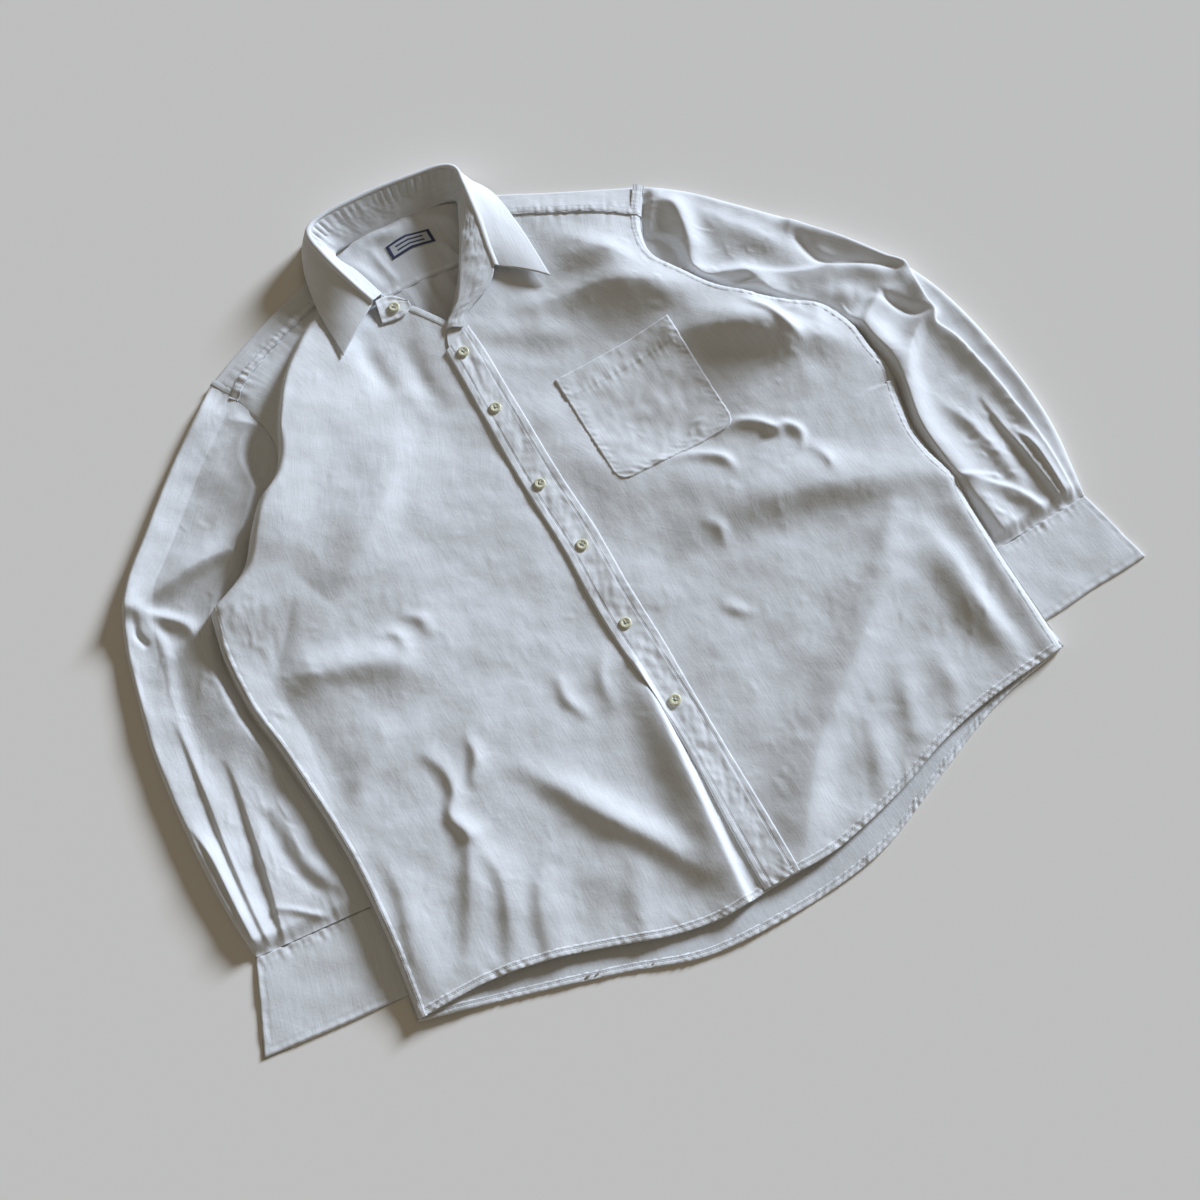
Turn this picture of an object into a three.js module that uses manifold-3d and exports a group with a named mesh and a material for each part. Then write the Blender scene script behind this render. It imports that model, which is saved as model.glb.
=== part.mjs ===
// A crumpled long-sleeved button-up shirt in pale cotton poplin, laid out on its back.
// Millimetres, +X towards the wearer's left side, +Y towards the collar, +Z up, floor at Z = 0.
// The cloth lies in layers: sleeves and back on the floor, fronts on the back, and the placket,
// pocket and buttons on the fronts. Plan outlines are short tables of points joined by smooth
// curves; heights come from one table of cross sections and one table of folds.

import * as THREE from "three";
import { mergeVertices } from "three/addons/utils/BufferGeometryUtils.js";
import Module from "manifold-3d";

const wasm = await Module();
wasm.setup();

// Driving dimensions.
const WALL = 1.0;
const COLLAR_WALL = 1.4;
const GAP = 0.3;
const LAYER = WALL + GAP;
const LAY_CLEARANCE = 0.7;
const FRONT_LAP_STEP = 3.0;
const FRONT_LAP_REACH = 40;
const SLEEVE_DEPTH = 3.2;
const SEAM_LAP = 2;
const SEAM_CLEARANCE = 1.3;
const TRIM_CLEARANCE = 0.4;
const SLEEVE_CROWN = 5;
const SLEEVE_ACROSS = 12;
const SLEEVE_FLOOR_STEPS = 4;
const SLEEVE_ALONG = 16;
const MOUTH_POINTS = 4;
const STAND_STEPS = 22;
const TRIM_REACH = 300;
const SEAM_INSET = 0.5;
const BACK_LIFT = SLEEVE_DEPTH + 0.9;
const LIFT_RUN = 30;
const UNDERLAP = 26;
const SIDE_EDGE_HEIGHT = BACK_LIFT + WALL + GAP + WALL + GAP;
const ARMHOLE_EDGE_HEIGHT = SLEEVE_DEPTH + GAP + WALL + GAP;
const EDGE_ROLL_RIGHT = 15;
const EDGE_ROLL_LEFT = 34;
const CUFF_DEPTH = 3.0;
const POCKET_CORNER = 14;
const BUTTON_RADIUS = 5.7;
const BUTTON_THICKNESS = 2.6;
const LABEL_THICKNESS = 0.6;

const CLOTH = { color: "#c3c8cf", roughness: 0.86, metalness: 0 };
const BUTTON = { color: "#d9d8b4", roughness: 0.35, metalness: 0 };
const LABEL = { color: "#343858", roughness: 0.8, metalness: 0 };

/** Rows of a table as objects with the named columns. */
function table(names, rows) {
  const keys = names.split(" ");
  return rows.map((row) => Object.fromEntries(keys.map((key, k) => [key, row[k]])));
}

// Plan outlines, each listed from hem to collar or from the wearer's right to left.
const SIDE_RIGHT = table("x y", [
  [-322, -263], [-315, -190], [-314, -110], [-319, -50], [-325, 0],
  [-334, 60], [-334, 110], [-326, 162],
]);
const ARMHOLE_RIGHT = table("x y", [
  [-326, 162], [-300, 171], [-280, 184], [-262, 210], [-240, 238],
  [-216, 256], [-199, 290], [-200, 322], [-212, 357], [-228, 386],
]);
const SIDE_LEFT = table("x y", [[352, -250], [351, -200], [353, -130], [357, -82], [363, -60]]);
const ARMHOLE_LEFT = table("x y", [
  [363, -60], [354, -25], [353, 5], [360, 40], [370, 75], [366, 104],
  [364, 132], [350, 168], [325, 187], [296, 211], [264, 242], [246, 270],
  [229, 302], [233, 330], [243, 352], [265, 385],
]);
const HEM_RIGHT = table("x y", [
  [-322, -263], [-250, -264], [-200, -273], [-150, -288], [-100, -305],
  [-50, -314], [0, -312], [25, -311],
]);
const HEM_LEFT = table("x y", [
  [-4, -311], [60, -311], [100, -304], [150, -291], [200, -274], [250, -262], [352, -250],
]);
const HEM_BACK = table("x y", [
  [-322, -264], [-250, -283], [-150, -312], [-80, -335], [0, -340], [60, -337],
  [110, -328], [200, -292], [270, -266], [352, -250],
]);
const YOKE_SEAM_RIGHT = table("x y", [
  [-212, 357], [-190, 376], [-160, 391], [-130, 405], [-100, 416], [-50, 430],
]);
const YOKE_SEAM_LEFT = table("x y", [
  [80, 433], [125, 418], [150, 405], [200, 378], [243, 352],
]);
const NECK_RIGHT = table("x y", [[-50, 430], [-38, 403], [-14, 368]]);
const NECK_LEFT = table("x y", [[10, 330], [34, 362], [62, 402], [80, 433]]);
const OPENING_EDGE_RIGHT = table("x y", [[-14, 368], [8, 335], [25, 300], [27, 0], [25, -311]]);
const OPENING_EDGE_LEFT = table("x y", [[10, 330], [-3, 306], [-4, 0], [-4, -311]]);
const SHOULDER_RIGHT = table("x y", [[-228, 386], [-200, 402], [-160, 422], [-100, 447], [-58, 460]]);
const SHOULDER_LEFT = table("x y", [[90, 462], [122, 452], [170, 429], [215, 408], [265, 385]]);
const BACK_YOKE_SEAM = table("x y", [[-204, 335], [-100, 384], [15, 399], [130, 386], [238, 345]]);
const BACK_NECK = table("x y", [[-58, 460], [-20, 474], [45, 475], [90, 462]]);
const SLEEVE_OUTER_RIGHT = table("x y", [
  [-228, 386], [-265, 352], [-300, 319], [-350, 265], [-385, 225], [-406, 180],
  [-418, 120], [-427, 60], [-430, -30], [-427, -100], [-421, -148],
]);
const SLEEVE_INNER_RIGHT = table("x y", [
  [-199, 290], [-202, 245], [-222, 218], [-244, 192], [-266, 162], [-292, 144],
  [-307, 110], [-308, 60], [-298, 0], [-292, -50], [-290, -110], [-294, -158],
]);
const SLEEVE_OUTER_LEFT = table("x y", [
  [265, 385], [300, 359], [350, 307], [400, 251], [430, 207], [457, 162],
  [473, 104], [481, 20], [479, -50], [468, -104], [461, -132],
]);
const SLEEVE_INNER_LEFT = table("x y", [
  [229, 302], [226, 262], [246, 226], [280, 192], [312, 166], [334, 140],
  [340, 100], [340, 60], [328, 10], [328, -60], [330, -140],
]);

// Plan corners of a cuff: at its seam and at its free edge, on the outer and inner side.
const CUFF_COLUMNS = "name seamOuterX seamOuterY seamInnerX seamInnerY "
  + "edgeOuterX edgeOuterY edgeInnerX edgeInnerY";
const CUFFS = table(CUFF_COLUMNS, [
  ["cuff_right", -421, -148, -294, -158, -449, -228, -300, -241],
  ["cuff_left", 461, -132, 330, -140, 474, -212, 330, -221],
]);

/** Cross sections of the body: height of the upper cloth at each station across the shirt. */
const STATIONS = {
  sideR: -300, outerR: -240, midR: -180, innerR: -110, frontR: -50, placket: 12,
  frontL: 70, innerL: 130, midL: 190, outerL: 250, sideL: 310,
};
const SECTIONS = table("y sideR outerR midR innerR frontR placket frontL innerL midL outerL sideL", [
  [-335, 8, 8, 8, 8, 7, 7, 7, 7, 7, 7, 7],
  [-265, 11, 11, 11, 11, 9, 8, 9, 10, 10, 10, 9],
  [-200, 16, 15, 13, 11, 10, 9, 10, 11, 12, 13, 12],
  [-130, 20, 17, 14, 12, 11, 9, 10, 12, 14, 15, 13],
  [-60, 22, 19, 15, 13, 11, 10, 11, 12, 13, 14, 13],
  [10, 22, 19, 16, 13, 11, 10, 11, 13, 15, 16, 14],
  [80, 20, 19, 17, 14, 12, 10, 11, 14, 15, 14, 11],
  [150, 17, 19, 18, 16, 13, 10, 11, 13, 12, 11, 10],
  [220, 13, 18, 20, 17, 14, 10, 11, 11, 10, 10, 9],
  [290, 8, 12, 21, 19, 15, 10, 12, 11, 12, 12, 8],
  [360, 7, 7, 12, 18, 15, 10, 11, 12, 15, 10, 7],
  [430, 6, 6, 7, 10, 10, 9, 9, 9, 8, 6, 6],
]);

/**
 * Folds of the body. Each runs from one point past a bend to another, with its height at the
 * three, and reaches so far to its left and right, seen from its start.
 */
const FOLD_COLUMNS = "name fromX fromY fromH bendX bendY bendH toX toY toH left right";
const BODY_FOLDS = table(FOLD_COLUMNS, [
  ["billow_top", -96, 416, 2, -150, 378, 22, -186, 310, 9, 60, 12],
  ["billow_side", -186, 310, 9, -196, 262, 26, -250, 215, 5, 80, 12],
  ["shoulder_left", 130, 410, 3, 165, 358, 14, 214, 290, 4, 16, 34],
  ["chest_left", 104, 296, 4, 175, 292, 9, 250, 232, 3, 18, 24],
  ["side_left", 205, 200, 2, 262, 172, 8, 345, 112, 3, 20, 26],
  ["pocket_foot", 175, 92, 2, 215, 92, 9, 250, 48, 4, 12, 14],
  ["waist_left", 118, 12, 2, 230, -8, 7, 335, -46, 3, 26, 26],
  ["hem_left", 262, -108, 3, 150, -178, 12, 34, -300, 7, 20, 20],
  ["edge_left", 322, -105, 2, 312, -160, 7, 318, -225, 3, 16, 12],
  ["hip_right", -300, 86, 3, -230, 66, 5, -190, 48, 2, 20, 26],
  ["belly_right", -330, 96, 2, -210, 118, 6, -110, 196, 2, 26, 22],
  ["waist_right", -292, -82, 2, -262, -50, 6, -212, -46, 2, 16, 22],
  ["crease_right", -214, -66, 2, -196, -110, 10, -218, -150, 6, 16, 9],
  ["flank_right", -214, -150, 6, -250, -190, 9, -276, -240, 3, 16, 13],
  ["hem_right", -146, -126, 2, -100, -182, 8, -48, -272, 3, 18, 12],
  ["opening_right", -14, -98, 2, -32, -190, 12, -30, -312, 9, 8, 20],
]);

/** Folds of the two sleeves, in the same columns. */
const SLEEVE_RIGHT_FOLDS = table(FOLD_COLUMNS, [
  ["upper_arm", -245, 345, 2, -285, 275, 12, -300, 225, 4, 30, 26],
  ["elbow", -398, 196, 8, -350, 206, 13, -268, 205, 4, 12, 20],
  ["bulge", -384, 192, 8, -396, 150, 14, -398, 90, 5, 14, 14],
  ["forearm", -360, 160, 3, -346, 90, 9, -336, 10, 2, 18, 22],
  ["pleat_inner", -374, 20, 4, -384, -60, 7, -395, -146, 3, 14, 5],
  ["pleat_mid", -402, 60, 3, -405, -40, 7, -407, -146, 3, 10, 5],
  ["pleat_outer", -420, 20, 3, -418, -60, 5, -417, -146, 3, 7, 5],
  ["wrist", -352, -30, 2, -352, -90, 6, -338, -130, 2, 18, 16],
]);
const SLEEVE_LEFT_FOLDS = table(FOLD_COLUMNS, [
  ["shoulder", 276, 352, 6, 274, 310, 12, 262, 276, 3, 14, 16],
  ["upper_arm", 312, 330, 2, 345, 270, 9, 352, 228, 3, 26, 22],
  ["elbow", 372, 205, 6, 410, 196, 15, 430, 168, 8, 14, 20],
  ["bulge", 400, 230, 3, 432, 196, 8, 448, 172, 8, 14, 18],
  ["top_edge", 448, 172, 8, 446, 130, 15, 441, 106, 9, 8, 18],
  ["point", 441, 106, 9, 410, 92, 11, 382, 64, 4, 15, 9],
  ["forearm_edge", 446, 90, 4, 458, -10, 12, 452, -126, 5, 5, 16],
  ["hollow_side", 368, 120, 3, 392, 135, 7, 412, 148, 4, 10, 12],
  ["pleat", 432, 0, 2, 434, -60, 6, 437, -132, 4, 7, 7],
  ["drag", 366, -66, 2, 392, -95, 7, 412, -128, 3, 10, 12],
]);

/** Collar stand: its seamed foot and the roll line where the fall turns over it. */
const STAND = table("footX footY footZ rollX rollY rollZ", [
  [-35, 392, 16, -46, 383, 23],
  [-45, 428, 16, -57, 410, 31],
  [-54, 454, 10, -67, 448, 35],
  [-53, 466, 5, -71, 480, 38],
  [-40, 470, 2.5, -56, 492, 39],
  [-5, 472, 2.4, -8, 498, 39],
  [40, 472, 2.4, 45, 496, 39],
  [75, 470, 3, 84, 490, 38],
  [88, 463, 7, 95, 480, 37],
  [83, 446, 13, 91, 444, 34],
  [76, 424, 17, 86, 405, 30],
  [68, 400, 19, 83, 378, 26],
  [64, 387, 18, 77, 359, 21],
]);

/** Free edge of the collar fall, from the right point round the back to the left point. */
const FALL_EDGE = table("x y z", [
  [-100, 342, 29], [-99, 400, 26], [-93, 444, 14], [-86, 470, 6], [-68, 494, 3],
  [-10, 504, 2.4], [50, 502, 2.4], [96, 494, 3], [112, 474, 6], [121, 450, 15],
  [125, 400, 21], [124, 327, 21],
]);

/** Placket: the band's two edges, from the hem up and turned outward at the open neck. */
const PLACKET = table("leftX leftY rightX rightY", [
  [-7, -311, 27, -311], [-6, -250, 28, -250], [-2, -150, 28, -150], [-8, -60, 29, -60],
  [-9, 0, 28, 0], [-7, 60, 30, 60], [-9, 130, 27, 130], [-8, 220, 27, 220],
  [-7, 296, 28, 300], [10, 331, 34, 325], [33, 360, 50, 342], [48, 378, 64, 351],
]);
const POCKET = { left: 73, right: 202, top: 222, bottom: 92 };
const BUTTON_PLACES = table("name x y", [
  ["button_1", 7, 292], ["button_2", 6, 222], ["button_3", 5, 128],
  ["button_4", 10, 53], ["button_5", 7, -36], ["button_6", 10, -123],
]);
const COLLAR_BUTTON = { x: -30, y: 373 };

/** Buttoned end of the stand, lying open on the right front: its two long edges, outer end last. */
const STAND_END = table("upperX upperY lowerX lowerY lift", [
  [-42, 388, -47, 362, 5], [-34, 390, -36, 360, 2.5],
  [-24, 386, -24, 360, 1], [-14, 374, -14, 367, 0.4],
]);
const LABEL_PLACE = { left: -5, right: 44, bottom: 427, top: 444 };

/** Value at a place along a table of knots, by a cubic through them. */
function cubic(knots, values, at) {
  const last = knots.length - 1;
  let k = 0;
  while (k < last - 1 && at > knots[k + 1]) k += 1;
  const span = knots[k + 1] - knots[k];
  const t = THREE.MathUtils.clamp((at - knots[k]) / span, 0, 1);
  const slope = (i) => {
    const a = Math.max(i - 1, 0);
    const b = Math.min(i + 1, last);
    return (values[b] - values[a]) / (knots[b] - knots[a]);
  };
  const h = t * t * (3 - 2 * t);
  const rise = slope(k) * span * t * (1 - t) * (1 - t) - slope(k + 1) * span * t * t * (1 - t);
  return values[k] * (1 - h) + values[k + 1] * h + rise;
}

/** Smooth plan curve through a table's points, walked by its share of length. */
function planCurve(points) {
  const knots = points.map((p) => new THREE.Vector3(p.x, p.y, 0));
  const curve = new THREE.CatmullRomCurve3(knots, false, "centripetal");
  curve.arcLengthDivisions = 400;
  return (share) => {
    const p = curve.getPointAt(THREE.MathUtils.clamp(share, 0, 1));
    return { x: p.x, y: p.y };
  };
}

/** A quadratic fold line as short steps, each with its place and height. */
function foldSteps(fold, count = 16) {
  return Array.from({ length: count + 1 }, (_, k) => {
    const t = k / count;
    const blend = (a, b, c) => (1 - t) * (1 - t) * a + 2 * t * (1 - t) * b + t * t * c;
    return {
      x: blend(fold.fromX, fold.bendX, fold.toX),
      y: blend(fold.fromY, fold.bendY, fold.toY),
      high: blend(fold.fromH, fold.bendH, fold.toH),
    };
  });
}

/** Height that a list of folds adds at a plan point. */
function foldLift(folds, x, y) {
  let lift = 0;
  for (const fold of folds) {
    let best = { distance: Infinity };
    for (let k = 1; k < fold.steps.length; k += 1) {
      const a = fold.steps[k - 1];
      const b = fold.steps[k];
      const dx = b.x - a.x;
      const dy = b.y - a.y;
      const t = THREE.MathUtils.clamp(((x - a.x) * dx + (y - a.y) * dy) / (dx * dx + dy * dy), 0, 1);
      const offX = x - a.x - t * dx;
      const offY = y - a.y - t * dy;
      const distance = Math.hypot(offX, offY);
      if (distance < best.distance) {
        best = { distance, onLeft: dx * offY - dy * offX > 0, high: a.high + t * (b.high - a.high) };
      }
    }
    const reach = best.onLeft ? fold.left : fold.right;
    lift += best.high * Math.exp(-((best.distance / reach) ** 2));
  }
  return lift;
}

const withSteps = (folds) => folds.map((fold) => ({ ...fold, steps: foldSteps(fold) }));
const bodyFolds = withSteps(BODY_FOLDS);
const smoothstep = THREE.MathUtils.smoothstep;

/** Points along plan curves, for measuring how far a place is from an edge. */
function edgeSamples(...edges) {
  return edges.flatMap((edge) => {
    const curve = planCurve(edge);
    return Array.from({ length: 61 }, (_, k) => curve(k / 60));
  });
}

const rightEdge = edgeSamples(SIDE_RIGHT, ARMHOLE_RIGHT);
const leftEdge = edgeSamples(SIDE_LEFT, ARMHOLE_LEFT);

/** Point a share of the way along a list of plan points, spaced evenly by number. */
function samplePolyline(points, share) {
  const at = THREE.MathUtils.clamp(share, 0, 1) * (points.length - 1);
  const k = Math.min(Math.floor(at), points.length - 2);
  const t = at - k;
  const [a, b] = [points[k], points[k + 1]];
  return { x: a.x + (b.x - a.x) * t, y: a.y + (b.y - a.y) * t };
}

const distanceTo = (samples, x, y) => Math.min(...samples.map((p) => Math.hypot(p.x - x, p.y - y)));

/** Rise of the cloth from its side edges: zero at the edge, one past the roll. */
function edgeRoll(distance, roll) {
  const inset = Math.max(0, 1 - distance / roll);
  return Math.sqrt(1 - inset * inset);
}

/** Upper surface of the right front, which the left front and the placket follow. */
function bodyTop(x, y) {
  const names = Object.keys(STATIONS);
  const across = names.map((name) => cubic(SECTIONS.map((s) => s.y), SECTIONS.map((s) => s[name]), y));
  const section = cubic(Object.values(STATIONS), across, THREE.MathUtils.clamp(x, -300, 310));
  const full = section + foldLift(bodyFolds, x, y);
  const onRight = x < 12;
  const samples = onRight ? rightEdge : leftEdge;
  const mouth = onRight ? SLEEVE_INNER_RIGHT[0].y : SLEEVE_INNER_LEFT[0].y;
  const upTheArmhole = smoothstep(y, mouth + 25, mouth + 55);
  const edge = THREE.MathUtils.lerp(SIDE_EDGE_HEIGHT, ARMHOLE_EDGE_HEIGHT, upTheArmhole);
  const rolled = edgeRoll(distanceTo(samples, x, y), onRight ? EDGE_ROLL_RIGHT : EDGE_ROLL_LEFT);
  return edge + (Math.max(full, edge) - edge) * rolled;
}

/** Upper surface of the left front: above the right front where they lap, level past it. */
function leftFrontTop(x, y) {
  return bodyTop(x, y) + FRONT_LAP_STEP * (1 - smoothstep(x, FRONT_LAP_REACH, 3 * FRONT_LAP_REACH));
}

const onLeftFront = (x, y) => leftFrontTop(x, y) + LAYER + LAY_CLEARANCE;

/** Height of the back's underside, lifted where a sleeve or cuff passes beneath its side. */
function backLift(x, y) {
  const onRight = x < 12;
  const mouth = onRight ? SLEEVE_INNER_RIGHT[0].y : SLEEVE_INNER_LEFT[0].y;
  const foot = CUFFS[onRight ? 0 : 1].edgeInnerY;
  const distance = distanceTo(onRight ? rightEdge : leftEdge, x, y);
  const inward = 1 - smoothstep(distance, UNDERLAP + 12, UNDERLAP + 12 + LIFT_RUN);
  const alongSide = smoothstep(y, foot - 42, foot - 24) * (1 - smoothstep(y, mouth + 16, mouth + 46));
  return BACK_LIFT * inward * alongSide;
}

/**
 * Grid of plan points inside four edges. Left and right run upwards, bottom and top run
 * from left to right; corners meet.
 */
function planGrid({ left, right, bottom, top }, across, along) {
  const asCurve = (edge) => (typeof edge === "function" ? edge : planCurve(edge));
  const [l, r, b, t] = [left, right, bottom, top].map(asCurve);
  const corners = { bl: b(0), br: b(1), tl: t(0), tr: t(1) };
  const mix = (key, u, v) =>
    (1 - u) * l(v)[key] + u * r(v)[key] + (1 - v) * b(u)[key] + v * t(u)[key]
    - (1 - u) * (1 - v) * corners.bl[key] - u * (1 - v) * corners.br[key]
    - (1 - u) * v * corners.tl[key] - u * v * corners.tr[key];
  const place = (i, j) => ({ x: mix("x", j / across, i / along), y: mix("y", j / across, i / along) });
  const row = (i) => Array.from({ length: across + 1 }, (_, j) => place(i, j));
  return Array.from({ length: along + 1 }, (_, i) => row(i));
}

/** Give each plan point its height. */
function raise(grid, height) {
  return grid.map((row) => row.map((p) => new THREE.Vector3(p.x, p.y, height(p.x, p.y))));
}

/** Unit normal of a grid of points at one of them, on the side of its rows and columns' cross. */
function gridNormal(grid, i, j) {
  const rows = grid.length - 1;
  const columns = grid[0].length - 1;
  const across = grid[i][Math.min(j + 1, columns)].clone().sub(grid[i][Math.max(j - 1, 0)]);
  const along = grid[Math.min(i + 1, rows)][j].clone().sub(grid[Math.max(i - 1, 0)][j]);
  return across.cross(along).normalize();
}

/** Collects quads of a closed body and turns them into a geometry. */
class Shell {
  constructor() {
    this.positions = [];
  }

  quad(a, b, c, d) {
    for (const p of [a, b, c, a, c, d]) this.positions.push(p.x, p.y, p.z);
  }

  geometry() {
    const geometry = new THREE.BufferGeometry();
    geometry.setAttribute("position", new THREE.Float32BufferAttribute(this.positions, 3));
    return mergeVertices(geometry, 1e-4);
  }
}

/** A cloth wall whose outer face is the grid and whose inner face lies one wall below. */
function sheet(grid, wall = WALL, under = null) {
  const inner = (p, i, j) => p.clone().addScaledVector(gridNormal(grid, i, j), -wall);
  const lower = under ?? grid.map((row, i) => row.map((p, j) => inner(p, i, j)));
  const rows = grid.length - 1;
  const columns = grid[0].length - 1;
  const shell = new Shell();
  for (let i = 0; i < rows; i += 1) {
    for (let j = 0; j < columns; j += 1) {
      shell.quad(grid[i][j], grid[i][j + 1], grid[i + 1][j + 1], grid[i + 1][j]);
      shell.quad(lower[i][j], lower[i + 1][j], lower[i + 1][j + 1], lower[i][j + 1]);
    }
  }
  for (let j = 0; j < columns; j += 1) {
    shell.quad(grid[0][j + 1], grid[0][j], lower[0][j], lower[0][j + 1]);
    shell.quad(grid[rows][j], grid[rows][j + 1], lower[rows][j + 1], lower[rows][j]);
  }
  for (let i = 0; i < rows; i += 1) {
    shell.quad(grid[i][0], grid[i + 1][0], lower[i + 1][0], lower[i][0]);
    shell.quad(grid[i + 1][columns], grid[i][columns], lower[i][columns], lower[i + 1][columns]);
  }
  return shell.geometry();
}

/** A flattened tube: closed loops of outer points, and the same loops one wall further in. */
function tube(outerLoops, innerLoops) {
  const shell = new Shell();
  const count = outerLoops[0].length;
  const last = outerLoops.length - 1;
  for (let i = 0; i < last; i += 1) {
    for (let j = 0; j < count; j += 1) {
      const k = (j + 1) % count;
      shell.quad(outerLoops[i][j], outerLoops[i][k], outerLoops[i + 1][k], outerLoops[i + 1][j]);
      shell.quad(innerLoops[i][j], innerLoops[i + 1][j], innerLoops[i + 1][k], innerLoops[i][k]);
    }
  }
  for (let j = 0; j < count; j += 1) {
    const k = (j + 1) % count;
    shell.quad(outerLoops[0][k], outerLoops[0][j], innerLoops[0][j], innerLoops[0][k]);
    shell.quad(outerLoops[last][j], outerLoops[last][k], innerLoops[last][k], innerLoops[last][j]);
  }
  return shell.geometry();
}

/** A named mesh in its material. */
function piece(name, geometry, look) {
  geometry.computeVertexNormals();
  const mesh = new THREE.Mesh(geometry, new THREE.MeshStandardMaterial(look));
  mesh.name = name;
  return mesh;
}

/** Two plan curves end to end, each taking a share of the whole. */
function chained(first, second, share) {
  const [a, b] = [planCurve(first), planCurve(second)];
  return (v) => (v < share ? a(v / share) : b((v - share) / (1 - share)));
}

const reversed = (points) => [...points].reverse();

/** Back panel: flat on the floor, lifted at its sides over the sleeves. */
function buildBack() {
  const grid = planGrid({
    left: chained(SIDE_RIGHT, [...ARMHOLE_RIGHT.slice(0, -2), BACK_YOKE_SEAM[0]], 0.64),
    right: chained(SIDE_LEFT, [...ARMHOLE_LEFT.slice(0, -3), BACK_YOKE_SEAM.at(-1)], 0.32),
    bottom: HEM_BACK,
    top: BACK_YOKE_SEAM,
  }, 14, 16);
  const centre = { x: 15, y: 30 };
  const inset = grid.map((row, i) => row.map((p, j) => {
    const side = j === 0 || j === row.length - 1 ? Math.sign(centre.x - p.x) * SEAM_INSET * 2 : 0;
    return { x: p.x + side, y: p.y - (i === grid.length - 1 ? SEAM_INSET / 2 : 0) };
  }));
  const upper = raise(inset, (x, y) => backLift(x, y) + WALL);
  const lower = raise(inset, backLift);
  return piece("back", trimmed(sheet(upper, WALL, lower)), CLOTH);
}

/** Front panels: two bulged sheets, the left one lapped over the right at the opening. */
function buildFrontRight() {
  const grid = planGrid({
    left: chained(SIDE_RIGHT, ARMHOLE_RIGHT.slice(0, -1), 0.61),
    right: reversed(OPENING_EDGE_RIGHT),
    bottom: HEM_RIGHT,
    top: chained(YOKE_SEAM_RIGHT, NECK_RIGHT, 0.7),
  }, 15, 24);
  return piece("front_right", trimmed(sheet(raise(grid, bodyTop))), CLOTH);
}

function buildFrontLeft() {
  const grid = planGrid({
    left: reversed(OPENING_EDGE_LEFT),
    right: chained(SIDE_LEFT, ARMHOLE_LEFT.slice(0, -1), 0.3),
    bottom: HEM_LEFT,
    top: chained(NECK_LEFT, YOKE_SEAM_LEFT, 0.4),
  }, 15, 24);
  return piece("front_left", trimmed(sheet(raise(grid, leftFrontTop))), CLOTH);
}

/** Placket band over the left front's edge. */
function buildPlacket() {
  const across = 3;
  const along = 34;
  const edge = (side) => planCurve(PLACKET.map((row) => ({ x: row[`${side}X`], y: row[`${side}Y`] })));
  const [left, right] = [edge("left"), edge("right")];
  const grid = Array.from({ length: along + 1 }, (_, i) => {
    const [a, b] = [left(i / along), right(i / along)];
    return Array.from({ length: across + 1 }, (__, j) => ({
      x: THREE.MathUtils.lerp(a.x, b.x, j / across),
      y: THREE.MathUtils.lerp(a.y, b.y, j / across),
    }));
  });
  return piece("placket", sheet(raise(grid, onLeftFront)), CLOTH);
}

/** Pocket with square upper and rounded lower corners, on the left front. */
function buildPocket() {
  const { left, right, top, bottom } = POCKET;
  const count = 6;
  const grid = Array.from({ length: count + 1 }, (_, i) => {
    const v = i / count;
    const y = THREE.MathUtils.lerp(bottom, top, v);
    const round = Math.max(0, 1 - (y - bottom) / POCKET_CORNER);
    const inset = POCKET_CORNER * (1 - Math.sqrt(1 - round * round)) * 0.8;
    return Array.from({ length: count + 1 }, (__, j) => ({
      x: THREE.MathUtils.lerp(left + inset, right - inset, j / count),
      y: y + (j / count) * 5 * v,
    }));
  });
  return piece("pocket", sheet(raise(grid, (x, y) => onLeftFront(x, y) + TRIM_CLEARANCE)), CLOTH);
}

/** A prism standing over everything outside an armhole, for trimming the pieces sewn to a sleeve. */
function armholeTrim(seam, outwards) {
  const far = outwards * TRIM_REACH;
  const outline = seam.map((p) => new THREE.Vector2(p.x - outwards * GAP, p.y));
  outline.push(new THREE.Vector2(seam.at(-1).x + far, seam.at(-1).y));
  outline.push(new THREE.Vector2(seam[0].x + far, seam[0].y + far * outwards));
  outline.push(new THREE.Vector2(seam[0].x, seam[0].y + far * outwards));
  const shape = new THREE.Shape(outline);
  const prism = new THREE.ExtrudeGeometry(shape, { depth: TRIM_REACH, bevelEnabled: false });
  return prism.translate(0, 0, -TRIM_REACH / 2);
}

/** Mouth of a sleeve: the upper stretch of its armhole, down to where it passes under the body. */
const sleeveMouth = (armhole) => {
  const curve = planCurve(reversed(armhole).slice(0, MOUTH_POINTS));
  return Array.from({ length: SLEEVE_ACROSS + 1 }, (_, j) => curve(j / SLEEVE_ACROSS));
};

const trims = [armholeTrim(sleeveMouth(ARMHOLE_RIGHT), -1), armholeTrim(sleeveMouth(ARMHOLE_LEFT), 1)];

/** Solid of a closed geometry. */
function solidOf(geometry) {
  const bare = geometry.clone();
  bare.deleteAttribute("normal");
  bare.deleteAttribute("uv");
  const merged = mergeVertices(bare, 1e-4);
  const vertProperties = new Float32Array(merged.attributes.position.array);
  const corner = (t) => [0, 1, 2].map((k) => merged.index.getX(3 * t + k));
  const triangles = Array.from({ length: merged.index.count / 3 }, (_, t) => corner(t));
  const triVerts = new Uint32Array(triangles.filter(([a, b, c]) => a !== b && b !== c && c !== a).flat());
  return new wasm.Manifold(new wasm.Mesh({ numProp: 3, vertProperties, triVerts }));
}

/** Geometry of a solid. */
function geometryOf(solid) {
  const mesh = solid.getMesh();
  const geometry = new THREE.BufferGeometry();
  geometry.setAttribute("position", new THREE.Float32BufferAttribute(mesh.vertProperties, 3));
  geometry.setIndex(new THREE.BufferAttribute(new Uint32Array(mesh.triVerts), 1));
  return geometry;
}

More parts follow.
